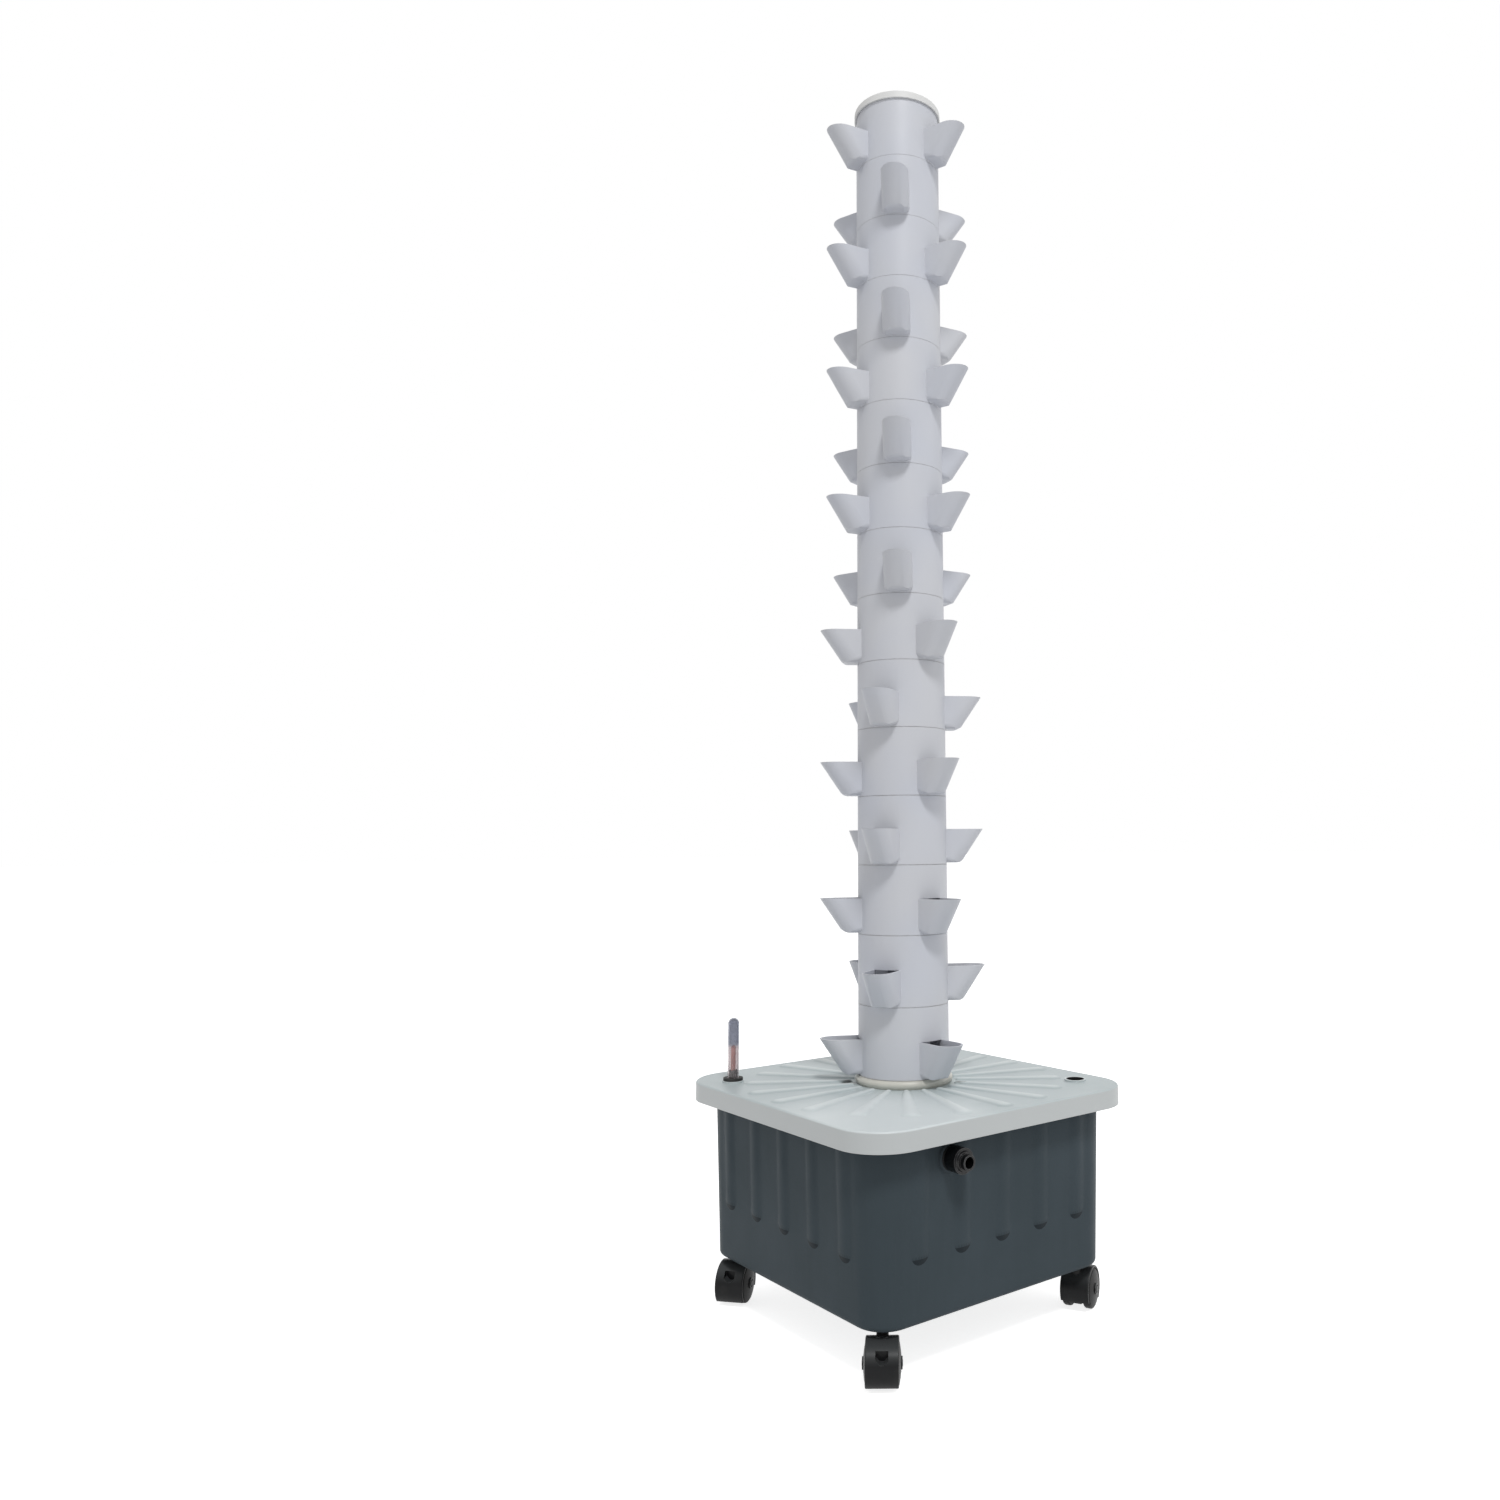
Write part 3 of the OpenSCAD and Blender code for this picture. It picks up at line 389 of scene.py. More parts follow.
@dataclass(frozen=True)
class LidPlastic:
    """Satin grey-green lid: painted highlights on rib tops, on edges and as a sheen near the
    corner, painted shade on rib sides, in the open port and as shadows beside the collar, and
    stains round the collar.
    """

    name: str = "lid_plastic"
    plate: Colour = (0.50, 0.56, 0.57)
    flank_shade_and_mottle: Colour = (0.41, 0.47, 0.48)
    crest_highlight: Colour = (0.68, 0.73, 0.73)
    skirt: Colour = (0.515, 0.54, 0.543)
    stain_and_shadow: Colour = (0.13, 0.13, 0.12)
    plate_top: float = 0.2578
    edge_radius: float = 0.0024
    rib_rise: float = 0.0026
    shadow_spots: tuple[tuple[float, float], ...] = ((-0.060, 0.034), (0.045, -0.055))
    shadow_spot_radius: float = 0.010
    port: tuple[float, float] = (0.158, -0.138)
    port_radius: float = 0.0107
    port_shade: Colour = (0.006, 0.006, 0.006)
    painted_sheen: Colour = (0.77, 0.82, 0.83)
    sheen_at: tuple[float, float] = (-0.135, -0.14)
    edge_highlight: Colour = (0.80, 0.82, 0.82)
    edge_mark_reach: float = 0.0012
    edge_mark_share: float = 0.5
    crest_highlight_share: float = 0.75
    sheen_share: float = 0.7
    shadow_spot_share: float = 0.8
    marks_share: float = 0.35
    speck_share: float = 0.16
    collar_radius: float = 0.060
    marks_reach: float = 0.035
    softening: float = 0.0009
    grain_depth: float = 0.00009
    roughness: float = 0.42

    def collar_shadows(self, g: Graph) -> Signal:
        """Painted shadows at both sides of the collar.

        Args:
            g: The material's graph.

        Returns:
            The mask of the marks.
        """
        ragged = (g.noise(160.0, 4.0) - 0.5) * 0.008
        found: Value = 0.0
        inner = self.shadow_spot_radius * 0.35
        for x, y in self.shadow_spots:
            away = (g.reach((x, y)) + ragged).band(inner, self.shadow_spot_radius)
            found = (1.0 - away) + found
        return found.clamp()

    def build(self) -> bpy.types.Material:
        """Builds the material.

        Returns:
            The material.
        """
        g = Graph(self.name)
        rise = g.height() - self.plate_top
        mottle = g.noise(18.0, 4.0)
        # Painted shade on the ribs' sides and a painted highlight on their tops; the darker tone
        # also follows the random mottle.
        upper = rise.band(self.rib_rise * 0.35, self.rib_rise * 0.7)
        flank = rise.band(0.0, self.rib_rise * 0.25) * (1.0 - upper)
        colour = g.mix(flank * 0.6 + (mottle - 0.5) * 0.4, self.plate, self.flank_shade_and_mottle)
        on_rib = rise.band(self.rib_rise * 0.45, self.rib_rise)
        colour = g.mix(on_rib * self.crest_highlight_share, colour, self.crest_highlight)
        # Painted sheen: paler towards the near corner, where the lid catches the light.
        from_sheen = (g.reach(self.sheen_at) + (mottle - 0.5) * 0.05).band(0.05, 0.15)
        colour = g.mix((1.0 - from_sheen) * self.sheen_share, colour, self.painted_sheen)
        above_skirt = rise.band(-self.edge_radius, -self.edge_radius * 0.3)
        colour = g.mix(1.0 - above_skirt, colour, self.skirt)
        ring = 1.0 - (g.reach() - self.collar_radius).band(0.0, self.marks_reach)
        marks = ring * g.noise(38.0, 6.0).band(0.54, 0.72)
        # Real stains round the collar and painted shadows beside it share one dark colour.
        soiled_and_shaded = marks * self.marks_share + self.collar_shadows(g) * self.shadow_spot_share
        colour = g.mix(soiled_and_shaded.clamp(), colour, self.stain_and_shadow)
        specks = 1.0 - g.cells(210.0).band(0.03, 0.07)
        colour = g.mix(specks * self.speck_share, colour, self.stain_and_shadow)
        # Painted highlight: a paler tone along every edge of the lid.
        colour = g.mix(g.edges(self.edge_mark_reach) * self.edge_mark_share, colour, self.edge_highlight)
        # Painted shade: the open port's inner wall is painted near black.
        from_port = (g.reach(self.port) - self.port_radius).band(0.0, 0.0004)
        colour = g.mix(1.0 - from_port, colour, self.port_shade)
        grain = g.noise(1500.0, 2.0) * 0.5 + g.noise(260.0, 2.0) * 0.5
        return g.finish(
            Base_Color=colour,
            Roughness=(mottle - 0.5) * 0.22 + marks * 0.15 + self.roughness,
            Normal=g.bump(grain, self.grain_depth, g.round_edges(self.softening)),
        )


@dataclass(frozen=True)
class Moulding:
    """A moulded plastic with grain, mottle, scuffed edges and dust, and, where asked, a painted
    highlight on its upward faces.
    """

    name: str
    colour: Colour
    dark: Colour
    edge: Colour
    roughness: float
    grain: float = 0.00008
    grain_scale: float = 1300.0
    streak: float = 0.1
    edge_share: float = 0.35
    edge_radius: float = 0.0008
    dust: float = 0.0
    dust_colour: Colour = (0.32, 0.31, 0.29)
    coat: float = 0.0
    specular: float = 0.5
    painted_shading: float = 0.0
    top_light_colour: Colour = (0.060, 0.064, 0.066)

    def build(self) -> bpy.types.Material:
        """Builds the material.

        Returns:
            The material.
        """
        g = Graph(self.name)
        mottle = g.noise(14.0, 5.0)
        streaks = g.noise(70.0, 3.0, (1.0, 1.0, 0.08))
        uneven = mottle.band(0.3, 0.7) * 0.7 + (streaks - 0.5) * self.streak * 4.0
        colour = g.mix(uneven, self.colour, self.dark)
        worn = g.edges(self.edge_radius * 1.3) * g.noise(150.0, 4.0).band(0.3, 0.65)
        colour = g.mix(worn * self.edge_share, colour, self.edge)
        if self.dust > 0.0:
            powder = g.noise(45.0, 7.0).band(0.48, 0.75)
            colour = g.mix(powder * self.dust, colour, self.dust_colour)
        # Painted highlight: a paler tone on upward faces, where the lamp above lights them.
        if self.painted_shading > 0.0:
            faces_up = (0.0 - g.turned_down()).band(0.15, 0.8)
            colour = g.mix(faces_up * self.painted_shading, colour, self.top_light_colour)
        fine = g.noise(self.grain_scale, 2.0)
        relief = fine * 0.6 + g.noise(self.grain_scale / 6.0, 3.0) * 0.4
        return g.finish(
            Base_Color=colour,
            Roughness=(mottle - 0.5) * 0.2 + (streaks - 0.5) * self.streak + self.roughness,
            Coat_Weight=self.coat,
            Specular_IOR_Level=self.specular,
            Normal=g.bump(relief, self.grain, g.round_edges(self.edge_radius)),
        )


@dataclass(frozen=True)
class TankPlastic:
    """Slate grey tank: fine grain, draw marks down the walls, drips and dust near its foot, painted
    shade under the ribs' feet and a painted shadow below the inlet valve.
    """

    name: str = "tank_plastic"
    slate: Colour = (0.057, 0.074, 0.086)
    deep: Colour = (0.047, 0.062, 0.071)
    dusty: Colour = (0.10, 0.11, 0.12)
    painted_shading: Colour = (0.020, 0.027, 0.032)
    foot: float = 0.054
    rib_foot: float = 0.1135
    valve_at: tuple[float, float] = (-0.078, -0.199)
    valve_shadow_top: float = 0.204
    valve_shadow_length: float = 0.075
    roughness: float = 0.46
    specular: float = 0.05
    softening: float = 0.007
    grain_depth: float = 0.00012
    edge_mark_reach: float = 0.0014
    edge_mark_share: float = 0.25
    valve_shadow_share: float = 0.5
    scratch_share: float = 0.05

    def build(self) -> bpy.types.Material:
        """Builds the material.

        Returns:
            The material.
        """
        g = Graph(self.name)
        mottle = g.noise(9.0, 5.0)
        draw = g.noise(120.0, 3.0, (1.0, 1.0, 0.03))
        colour = g.mix(mottle.band(0.3, 0.7) * 0.6 + (draw - 0.5) * 0.5, self.slate, self.deep)
        drips = g.noise(34.0, 5.0, (1.0, 1.0, 0.12)).band(0.58, 0.78)
        low = 1.0 - (g.height() - self.foot).band(0.0, 0.09)
        colour = g.mix(drips * (low * 0.18 + 0.05), colour, self.dusty)
        worn = g.edges(self.edge_mark_reach) * g.noise(160.0, 3.0).band(0.3, 0.7)
        colour = g.mix(worn * self.edge_mark_share, colour, self.dusty)
        # Painted shade: darker on the downward faces just under the ribs' round feet.
        past_foot = (g.height() - (self.rib_foot - 0.01)).band(0.0, 0.004)
        above = past_foot * (1.0 - (g.height() - (self.rib_foot + 0.02)).band(0.0, 0.02))
        colour = g.mix(g.turned_down().band(0.12, 0.26) * above, colour, self.painted_shading)
        # Painted shadow: a dark streak that runs down from below the inlet valve and fades.
        fading = (g.height() - (self.valve_shadow_top - self.valve_shadow_length)).band(0.0, self.valve_shadow_length)
        below = fading * (1.0 - (g.height() - self.valve_shadow_top).band(0.0, 0.003))
        ragged = (g.noise(90.0, 3.0, (1.0, 1.0, 0.15)) - 0.5) * 0.008
        valve_shadow = 1.0 - (g.reach(self.valve_at) + ragged).band(0.003, 0.011)
        colour = g.mix(valve_shadow * below * self.valve_shadow_share, colour, self.painted_shading)
        scratch = g.noise(300.0, 2.0, (1.0, 1.0, 0.02)).band(0.66, 0.72)
        colour = g.mix(scratch * self.scratch_share, colour, self.dusty)
        grain = g.noise(1500.0, 2.0) * 0.7 + g.noise(240.0, 2.0) * 0.3
        return g.finish(
            Base_Color=colour,
            Roughness=(mottle - 0.5) * 0.16 + drips * 0.1 + self.roughness,
            Specular_IOR_Level=self.specular,
            Normal=g.bump(grain, self.grain_depth, g.round_edges(self.softening)),
        )


@dataclass(frozen=True)
class Metal:
    """Plated or brushed metal with handling marks."""

    name: str
    colour: Colour
    tarnish: Colour
    roughness: float
    edge_radius: float = 0.0004
    grain_depth: float = 0.00002
    tarnish_share: float = 0.5

    def build(self) -> bpy.types.Material:
        """Builds the material.

        Returns:
            The material.
        """
        g = Graph(self.name)
        marks = g.noise(220.0, 5.0)
        return g.finish(
            Base_Color=g.mix(marks.band(0.55, 0.8) * self.tarnish_share, self.colour, self.tarnish),
            Metallic=1.0,
            Roughness=(marks - 0.5) * 0.3 + self.roughness,
            Normal=g.bump(g.noise(900.0, 2.0), self.grain_depth, g.round_edges(self.edge_radius)),
        )


@dataclass(frozen=True)
class ClearTube:
    """Clear tube with a bluish cast above the rod's tip, a painted red cast below it where the rod
    shows through, and water marks.
    """

    name: str = "clear_tube"
    tint: Colour = (0.37, 0.385, 0.44)
    painted_rod_cast: Colour = (0.66, 0.61, 0.62)
    marked: Colour = (0.50, 0.52, 0.58)
    mark_share: float = 0.35
    rod_tip: float = 0.3018
    roughness: float = 0.05
    refraction: float = 1.36
    clearness: float = 0.88
    ripple_depth: float = 0.00002

    def build(self) -> bpy.types.Material:
        """Builds the material.

        Returns:
            The material.
        """
        g = Graph(self.name)
        marks = g.noise(160.0, 5.0).band(0.5, 0.75)
        # Painted light: a red cast below the rod's tip stands in for the rod seen through the tube,
        # and stays at this height when the float slides.
        past_tip = (g.height() - self.rod_tip).band(-0.004, 0.003)
        bluish = g.mix(marks * self.mark_share, self.tint, self.marked)
        return g.finish(
            Base_Color=g.mix(past_tip, self.painted_rod_cast, bluish),
            Roughness=marks * 0.1 + self.roughness,
            IOR=self.refraction,
            Transmission_Weight=self.clearness,
            Normal=g.bump(g.noise(60.0, 2.0), self.ripple_depth),
        )


class Finish(Enum):
    """Every finish on the tower, by the maker's name of the piece that carries it."""

    COLUMN = ColumnWhite()
    CAP = ColumnWhite("cap_white", (0.73, 0.735, 0.73), (0.76, 0.76, 0.75), roughness=0.5)
    LID = LidPlastic()
    TANK = TankPlastic()
    COLLAR = Moulding(
        "collar_ivory",
        (0.64, 0.63, 0.57),
        (0.57, 0.56, 0.50),
        (0.75, 0.74, 0.70),
        0.35,
        dust=0.25,
    )
    DISTRIBUTOR = Moulding(
        "distributor_grey",
        (0.55, 0.57, 0.58),
        (0.48, 0.50, 0.51),
        (0.7, 0.7, 0.7),
        0.4,
    )
    PIPE = Moulding(
        "pipe_white",
        (0.70, 0.70, 0.68),
        (0.64, 0.64, 0.62),
        (0.8, 0.8, 0.8),
        0.3,
        dust=0.1,
    )
    PUMP = Moulding(
        "pump_black",
        (0.02, 0.02, 0.022),
        (0.012, 0.012, 0.013),
        (0.09, 0.09, 0.09),
        0.42,
        dust=0.08,
    )
    IMPELLER = Moulding(
        "impeller_blue",
        (0.02, 0.06, 0.19),
        (0.015, 0.045, 0.15),
        (0.1, 0.16, 0.3),
        0.3,
    )
    RUBBER = Moulding(
        "rubber",
        (0.010, 0.010, 0.010),
        (0.016, 0.016, 0.016),
        (0.04, 0.04, 0.04),
        0.7,
        grain=0.0001,
        dust=0.1,
    )
    FLOAT = Moulding(
        "float_red",
        (0.82, 0.32, 0.26),
        (0.76, 0.27, 0.22),
        (0.85, 0.45, 0.4),
        0.3,
        coat=0.2,
    )
    GLOSS_BLACK = Moulding(
        "gloss_black",
        (0.008, 0.0085, 0.0095),
        (0.005, 0.0055, 0.006),
        (0.05, 0.05, 0.05),
        0.3,
        grain=0.00003,
        dust=0.03,
        edge_share=0.3,
        specular=0.17,
        # Paler upward faces: painted highlight.
        painted_shading=0.75,
    )
    VALVE_BLACK = Moulding(
        "valve_black",
        (0.004, 0.0045, 0.005),
        (0.003, 0.003, 0.0035),
        (0.16, 0.16, 0.17),
        0.3,
        grain=0.00003,
        dust=0.04,
        edge_share=0.6,
        specular=0.3,
    )
    WHEEL = Moulding(
        "wheel_black",
        (0.009, 0.009, 0.0095),
        (0.006, 0.006, 0.0065),
        (0.05, 0.05, 0.05),
        0.4,
        dust=0.05,
        specular=0.1,
        # Paler upward faces: painted highlight.
        painted_shading=0.3,
    )
    CHROME = Metal("stem_chrome", (0.72, 0.73, 0.75), (0.45, 0.44, 0.42), 0.16)
    BRASS = Metal("arm_brass", (0.62, 0.44, 0.18), (0.35, 0.24, 0.1), 0.3)
    TUBE = ClearTube()


# ---------------------------------------------------------------- modelling helpers


MERGE_DISTANCE = 0.000001
# How strongly large faces set the normals, and how near two areas count as equal
FLAT_WEIGHT = 90
FLAT_THRESHOLD = 0.0005


def deselect() -> None:
    """Leaves edit mode and deselects every object."""
    if bpy.context.mode != "OBJECT":
        bpy.ops.object.mode_set(mode="OBJECT")
    bpy.ops.object.select_all(action="DESELECT")


def pick(obj: bpy.types.Object, wanted: Callable[[bmesh.types.BMFace], bool]) -> None:
    """Selects faces of the object in edit mode by a test.

    Args:
        obj: The object, which is in edit mode.
        wanted: Says whether a face is selected.
    """
    mesh = bmesh.from_edit_mesh(obj.data)
    for face in mesh.faces:
        face.select_set(False)
    for face in mesh.faces:
        if wanted(face):
            face.select_set(True)
    mesh.select_flush(True)
    bmesh.update_edit_mesh(obj.data)


def settle(obj: bpy.types.Object, name: str, angle: float = 35.0) -> bpy.types.Object:
    """Applies an object's modifiers and place, and smooths it.

    Args:
        obj: The object.
        name: The name that it gets.
        angle: Edges sharper than this stay sharp, in degrees.

    Returns:
        The object.
    """
    deselect()
    obj.select_set(True)
    bpy.context.view_layer.objects.active = obj
    for modifier in list(obj.modifiers):
        bpy.ops.object.modifier_apply(modifier=modifier.name)
    bpy.ops.object.transform_apply(location=True, rotation=True, scale=True)
    bpy.ops.object.mode_set(mode="EDIT")
    bpy.ops.mesh.select_all(action="SELECT")
    bpy.ops.mesh.remove_doubles(threshold=MERGE_DISTANCE)
    bpy.ops.mesh.normals_make_consistent(inside=False)
    bpy.ops.object.mode_set(mode="OBJECT")
    bpy.ops.object.shade_smooth_by_angle(angle=math.radians(angle))
    obj.name = name
    obj.data.name = name
    return obj


def copy_to(obj: bpy.types.Object, name: str, place: Matrix) -> bpy.types.Object:
    """Copies a finished piece with its own mesh.

    Args:
        obj: The piece, made about the origin.
        name: The copy's name.
        place: Where the copy goes.

    Returns:
        The copy.
    """
    made = obj.copy()
    made.data = obj.data.copy()
    made.data.transform(place)
    made.name = made.data.name = name
    bpy.context.scene.collection.objects.link(made)
    return made


def dress(obj: bpy.types.Object, material: bpy.types.Material) -> None:
    """Gives an object one material.

    Args:
        obj: The object.
        material: The material.
    """
    obj.data.materials.clear()
    obj.data.materials.append(material)


def smooth_node(name: str, angle: float = 32.0) -> bpy.types.Object:
    """Shades a CAD node smoothly with modifiers alone.

    Args:
        name: The node.
        angle: Edges sharper than this stay sharp, in degrees.

    Returns:
        The node's object.
    """
    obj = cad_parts[name]
    weld = obj.modifiers.new("weld", "WELD")
    weld.merge_threshold = 2.0 * MERGE_DISTANCE
    split = obj.modifiers.new("edge_split", "EDGE_SPLIT")
    split.split_angle = math.radians(angle)
    flat = obj.modifiers.new("flat_faces_first", "WEIGHTED_NORMAL")
    flat.mode = "FACE_AREA"
    flat.weight = FLAT_WEIGHT
    flat.thresh = FLAT_THRESHOLD
    for face in obj.data.polygons:
        face.use_smooth = True
    return obj


# ---------------------------------------------------------------- sub-assemblies


@dataclass
class SubAssembly:
    """CAD nodes that share a place on the tower, and the pieces added to them."""

    finishes: dict[Finish, bpy.types.Material]
    made: list[bpy.types.Object] = field(default_factory=list)

    def coat(self, finish: Finish, names: Iterable[str]) -> None:
        """Smooths CAD nodes and gives them a finish.

        Args:
            finish: The finish.
            names: The nodes.
        """
        for name in names:
            dress(smooth_node(name), self.finishes[finish])

    def add(self, piece: bpy.types.Object, finish: Finish, body: str, slot: str) -> None:
        """Takes a new piece in.

        Args:
            piece: The piece, in place.
            finish: Its finish.
            body: The CAD body that it moves with.
            slot: The record's material slot; not used.
        """
        dress(piece, self.finishes[finish])
        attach(piece, body)
        self.made.append(piece)
        log.info("%s rides on %s", piece.name, body)

    def build(self) -> None:
        """Dresses the nodes and adds the pieces."""
        raise NotImplementedError


@dataclass
class Column(SubAssembly):
    """Collar, tiers, cap and what feeds them with water."""

    tiers: int = 15

    def build(self) -> None:
        """Dresses the nodes."""
        self.coat(Finish.COLUMN, [f"tier_{n:02d}" for n in range(1, self.tiers + 1)])
        self.coat(Finish.CAP, ["top_cap"])
        self.coat(Finish.COLLAR, ["collar"])
        self.coat(Finish.DISTRIBUTOR, ["distributor"])
        self.coat(Finish.PIPE, ["riser_pipe"])


@dataclass
class Tank(SubAssembly):
    """Tank, lid, gauge, inlet valve and pump."""

    def build(self) -> None:
        """Dresses the nodes."""
        self.coat(Finish.TANK, ["tank"])
        self.coat(Finish.LID, ["lid"])
        self.coat(Finish.RUBBER, ["gauge_grommet", "pump_feet", "valve_gasket"])
        self.coat(Finish.TUBE, ["gauge_tube"])
        self.coat(Finish.FLOAT, ["gauge_float", "valve_ball"])
        self.coat(Finish.VALVE_BLACK, ["valve_body", "valve_nut"])
        self.coat(Finish.BRASS, ["valve_arm"])
        self.coat(Finish.CHROME, ["valve_pin", "pump_shaft"])
        self.coat(Finish.PUMP, ["pump_case", "pump_strainer"])
        self.coat(Finish.IMPELLER, ["pump_impeller"])


@dataclass
class Castors(SubAssembly):
    """The four twin-wheel castors with their hub caps."""

    stem_at: float = 0.145
    trail: float = 0.0105
    wheel_radius: float = 0.022
    wheel_outer: float = 0.0197
    cap_radius: float = 0.0062
    cap_rise: float = 0.0014
    cap_sunk: float = 0.0004
    cap_bevel: float = 0.00022
    turns: tuple[float, ...] = (231.0, 26.0, 219.0, 60.0)

    def hub_cap(self) -> bpy.types.Object:
        """Models one hub cap about the origin, facing along +Z.

        Returns:
            The cap.
        """
        deselect()
        bpy.ops.mesh.primitive_cylinder_add(
            vertices=40,
            radius=self.cap_radius,
            depth=self.cap_rise,
            location=(0.0, 0.0, self.cap_rise / 2),
        )
        obj = bpy.context.object
        bpy.ops.object.mode_set(mode="EDIT")
        pick(obj, lambda face: face.normal.z > 0.9)
        bpy.ops.mesh.inset(thickness=self.cap_radius * 0.28)
        sink = {"value": (0.0, 0.0, -self.cap_rise * 0.45)}
        bpy.ops.mesh.extrude_region_move(TRANSFORM_OT_translate=sink)
        bpy.ops.mesh.inset(thickness=self.cap_radius * 0.22)
        lift = {"value": (0.0, 0.0, self.cap_rise * 0.65)}
        bpy.ops.mesh.extrude_region_move(TRANSFORM_OT_translate=lift)
        bpy.ops.object.mode_set(mode="OBJECT")
        bevel = obj.modifiers.new("bevel", "BEVEL")
        bevel.width = self.cap_bevel
        bevel.segments = 3
        bevel.limit_method = "ANGLE"
        return settle(obj, "hub_cap")

    def build(self) -> None:
        """Dresses the nodes and adds a cap to every wheel."""
        for corner in CORNERS:
            self.coat(Finish.CHROME, [f"castor_{corner}_stem", f"castor_{corner}_axle"])
            self.coat(Finish.GLOSS_BLACK, [f"castor_{corner}_hood"])
            self.coat(Finish.WHEEL, [f"castor_{corner}_wheel_a", f"castor_{corner}_wheel_b"])
        cap = self.hub_cap()
        for corner, turn in zip(CORNERS, self.turns):
            sx = 1.0 if "right" in corner else -1.0
            sy = 1.0 if "back" in corner else -1.0
            stem = Matrix.Translation((sx * self.stem_at, sy * self.stem_at, 0.0))
            swivel = stem @ Matrix.Rotation(math.radians(turn), 4, "Z")
            for side, sign in (("a", 1.0), ("b", -1.0)):
                outward = Matrix.Rotation(math.radians(-90.0 * sign), 4, "X")
                hub = (self.trail, sign * (self.wheel_outer - self.cap_sunk), self.wheel_radius)
                place = swivel @ Matrix.Translation(hub) @ outward
                piece = copy_to(cap, f"hub_cap_{corner}_{side}", place)
                self.add(piece, Finish.GLOSS_BLACK, f"{corner}_wheel_{side}", "black_plastic")
        bpy.data.objects.remove(cap)


# ---------------------------------------------------------------- studio


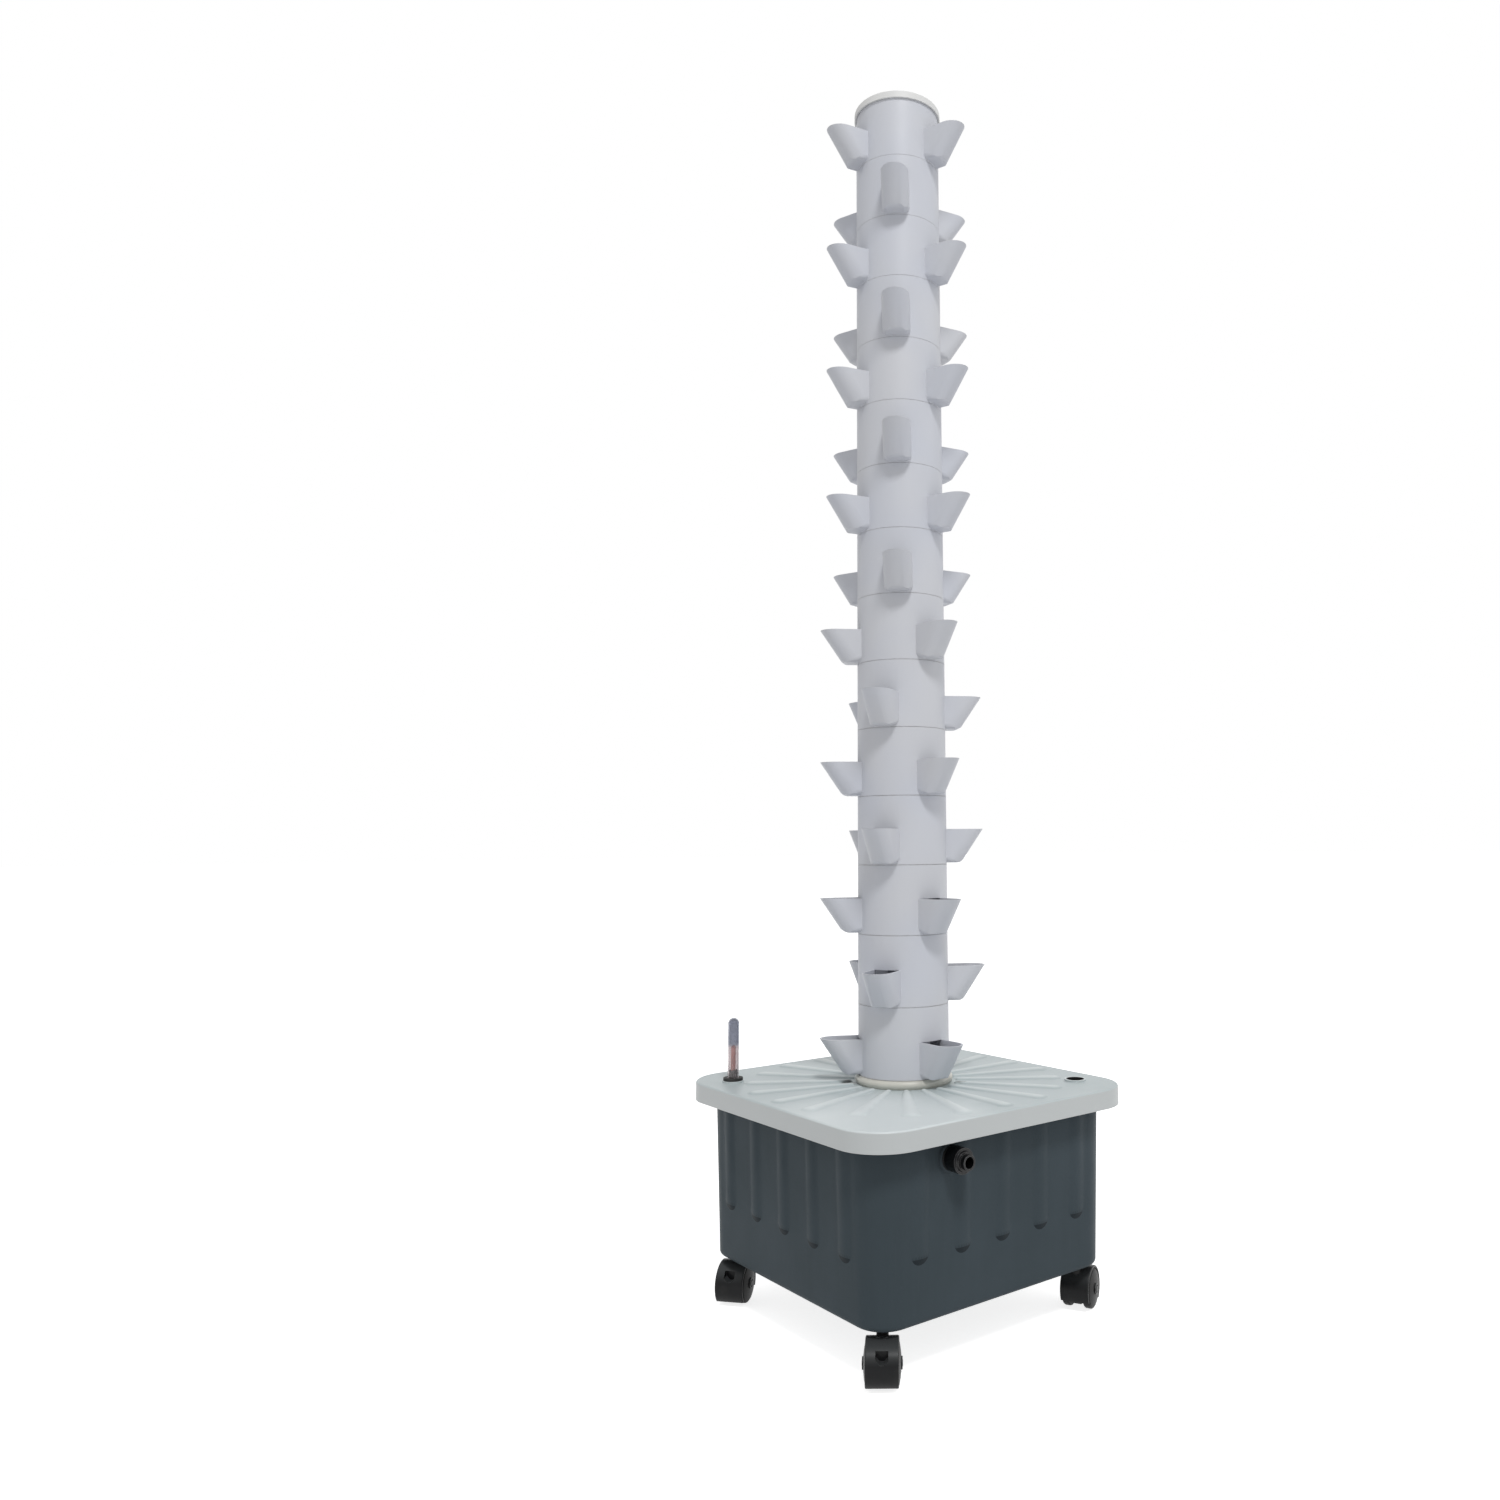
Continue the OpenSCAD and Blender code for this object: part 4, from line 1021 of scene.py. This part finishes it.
@dataclass
class Studio:
    """Floor, world, lamps and camera."""

    floor_half: float = 60.0
    ambient: float = 0.50
    glow: float = 0.80
    key_power: float = 190.0
    fill_power: float = 6.0
    distance: float = 1.474
    eye_height: float = 0.543
    azimuth: float = -38.309
    yaw: float = -0.644
    pitch: float = 7.715
    roll: float = -0.496
    focal_pixels: float = 1156.0
    centre: tuple[float, float] = (914.0, 690.0)
    pixels: float = 1500.0
    sensor_width: float = 36.0
    clip: tuple[float, float] = (0.05, 200.0)
    floor_drop: float = 0.0004
    floor_colour: Colour = (0.86, 0.86, 0.86)
    key_place: Point = (-1.75, -3.85, 5.9)
    key_aim: Point = (0.0, 0.0, 0.75)
    key_size: float = 1.3
    fill_place: Point = (1.9, -1.7, 1.6)
    fill_aim: Point = (0.0, 0.0, 0.7)
    fill_size: float = 2.0

    def floor(self) -> None:
        """Pale floor that looks white to the camera and keeps the tower's shadow."""
        deselect()
        location = (0.0, 0.0, -self.floor_drop)
        bpy.ops.mesh.primitive_plane_add(size=2.0 * self.floor_half, location=location)
        obj = bpy.context.object
        obj.name = "studio_floor"
        g = Graph("floor_white")
        seen = g.node("ShaderNodeLightPath", {}, {})
        camera, glossy, through = (
            Signal(g, seen.outputs[ray])
            for ray in ("Is Camera Ray", "Is Glossy Ray", "Is Transmission Ray")
        )
        direct = g.math("ADD", g.math("ADD", camera, glossy), through, clamp=True)
        matt = g.node("ShaderNodeBsdfDiffuse", {}, {"Color": self.floor_colour})
        glow = {"Color": (1.0, 1.0, 1.0), "Strength": direct * self.glow}
        lit = g.node("ShaderNodeEmission", {}, glow)
        parts = {0: Signal(g, matt.outputs[0]), 1: Signal(g, lit.outputs[0])}
        both = g.node("ShaderNodeAddShader", {}, parts)
        g.tree.links.new(both.outputs[0], g.output.inputs["Surface"])
        dress(obj, g.material)

    def world(self) -> None:
        """Even white surround, full white where the camera sees it."""
        world = bpy.data.worlds.new("studio_world")
        bpy.context.scene.world = world
        world.use_nodes = True
        tree = world.node_tree
        tree.nodes.clear()
        out = tree.nodes.new("ShaderNodeOutputWorld")
        back = tree.nodes.new("ShaderNodeBackground")
        path = tree.nodes.new("ShaderNodeLightPath")
        first = tree.nodes.new("ShaderNodeMath")
        first.operation = "MAXIMUM"
        second = tree.nodes.new("ShaderNodeMath")
        second.operation = "MAXIMUM"
        level = tree.nodes.new("ShaderNodeMapRange")
        level.inputs["To Min"].default_value = self.ambient
        level.inputs["To Max"].default_value = 1.0
        tree.links.new(path.outputs["Is Camera Ray"], first.inputs[0])
        tree.links.new(path.outputs["Is Glossy Ray"], first.inputs[1])
        tree.links.new(first.outputs[0], second.inputs[0])
        tree.links.new(path.outputs["Is Transmission Ray"], second.inputs[1])
        tree.links.new(second.outputs[0], level.inputs["Value"])
        tree.links.new(level.outputs["Result"], back.inputs["Strength"])
        back.inputs["Color"].default_value = (1.0, 1.0, 1.0, 1.0)
        tree.links.new(back.outputs[0], out.inputs["Surface"])

    def lamp(self, name: str, place: Point, aim: Point, size: float, power: float) -> None:
        """Adds a soft square lamp.

        Args:
            name: The lamp's name.
            place: Where it hangs.
            aim: The point that it faces.
            size: Its side in metres.
            power: Its power in watts.
        """
        data = bpy.data.lights.new(name, "AREA")
        data.shape = "SQUARE"
        data.size = size
        data.energy = power
        lamp = bpy.data.objects.new(name, data)
        lamp.location = place
        lamp.rotation_euler = (Vector(aim) - Vector(place)).to_track_quat("-Z", "Y").to_euler()
        bpy.context.scene.collection.objects.link(lamp)

    def camera(self) -> None:
        """Places the camera at the photograph's viewpoint."""
        turn = math.radians(self.azimuth)
        base = Vector((-math.sin(turn), math.cos(turn), 0.0))
        out_x, out_y = math.sin(turn) * self.distance, -math.cos(turn) * self.distance
        place = Vector((out_x, out_y, self.eye_height))
        level = Matrix.Rotation(math.radians(self.yaw), 3, "Z") @ base
        pitch = math.radians(self.pitch)
        ahead = level * math.cos(pitch) + Vector((0.0, 0.0, math.sin(pitch)))
        right = ahead.cross(Vector((0.0, 0.0, 1.0))).normalized()
        up = right.cross(ahead)
        roll = math.radians(self.roll)
        cosine, sine = math.cos(roll), math.sin(roll)
        right, up = right * cosine + up * sine, up * cosine - right * sine
        data = bpy.data.cameras.new("photo_camera")
        data.sensor_width = self.sensor_width
        data.lens = self.focal_pixels / self.pixels * data.sensor_width
        data.shift_x = (self.pixels / 2 - self.centre[0]) / self.pixels
        data.shift_y = (self.centre[1] - self.pixels / 2) / self.pixels
        data.clip_start, data.clip_end = self.clip
        camera = bpy.data.objects.new("photo_camera", data)
        facing = Matrix((right, up, -ahead)).transposed().to_4x4()
        camera.matrix_world = Matrix.Translation(place) @ facing
        bpy.context.scene.collection.objects.link(camera)
        bpy.context.scene.camera = camera

    def build(self) -> None:
        """Builds the studio."""
        self.floor()
        self.world()
        self.lamp("key_lamp", self.key_place, self.key_aim, self.key_size, self.key_power)
        self.lamp("fill_lamp", self.fill_place, self.fill_aim, self.fill_size, self.fill_power)
        self.camera()
        bpy.context.scene.view_settings.view_transform = "Standard"
        log.info("studio ready")


def main() -> None:
    """Builds the finishes, the sub-assemblies and the studio."""
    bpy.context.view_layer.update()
    finishes = {finish: finish.value.build() for finish in Finish}
    for assembly in (Column, Tank, Castors):
        part = assembly(finishes)
        part.build()
        log.info("%s: %d new pieces", assembly.__name__, len(part.made))
    Studio().build()


if __name__ == "__main__":
    main()
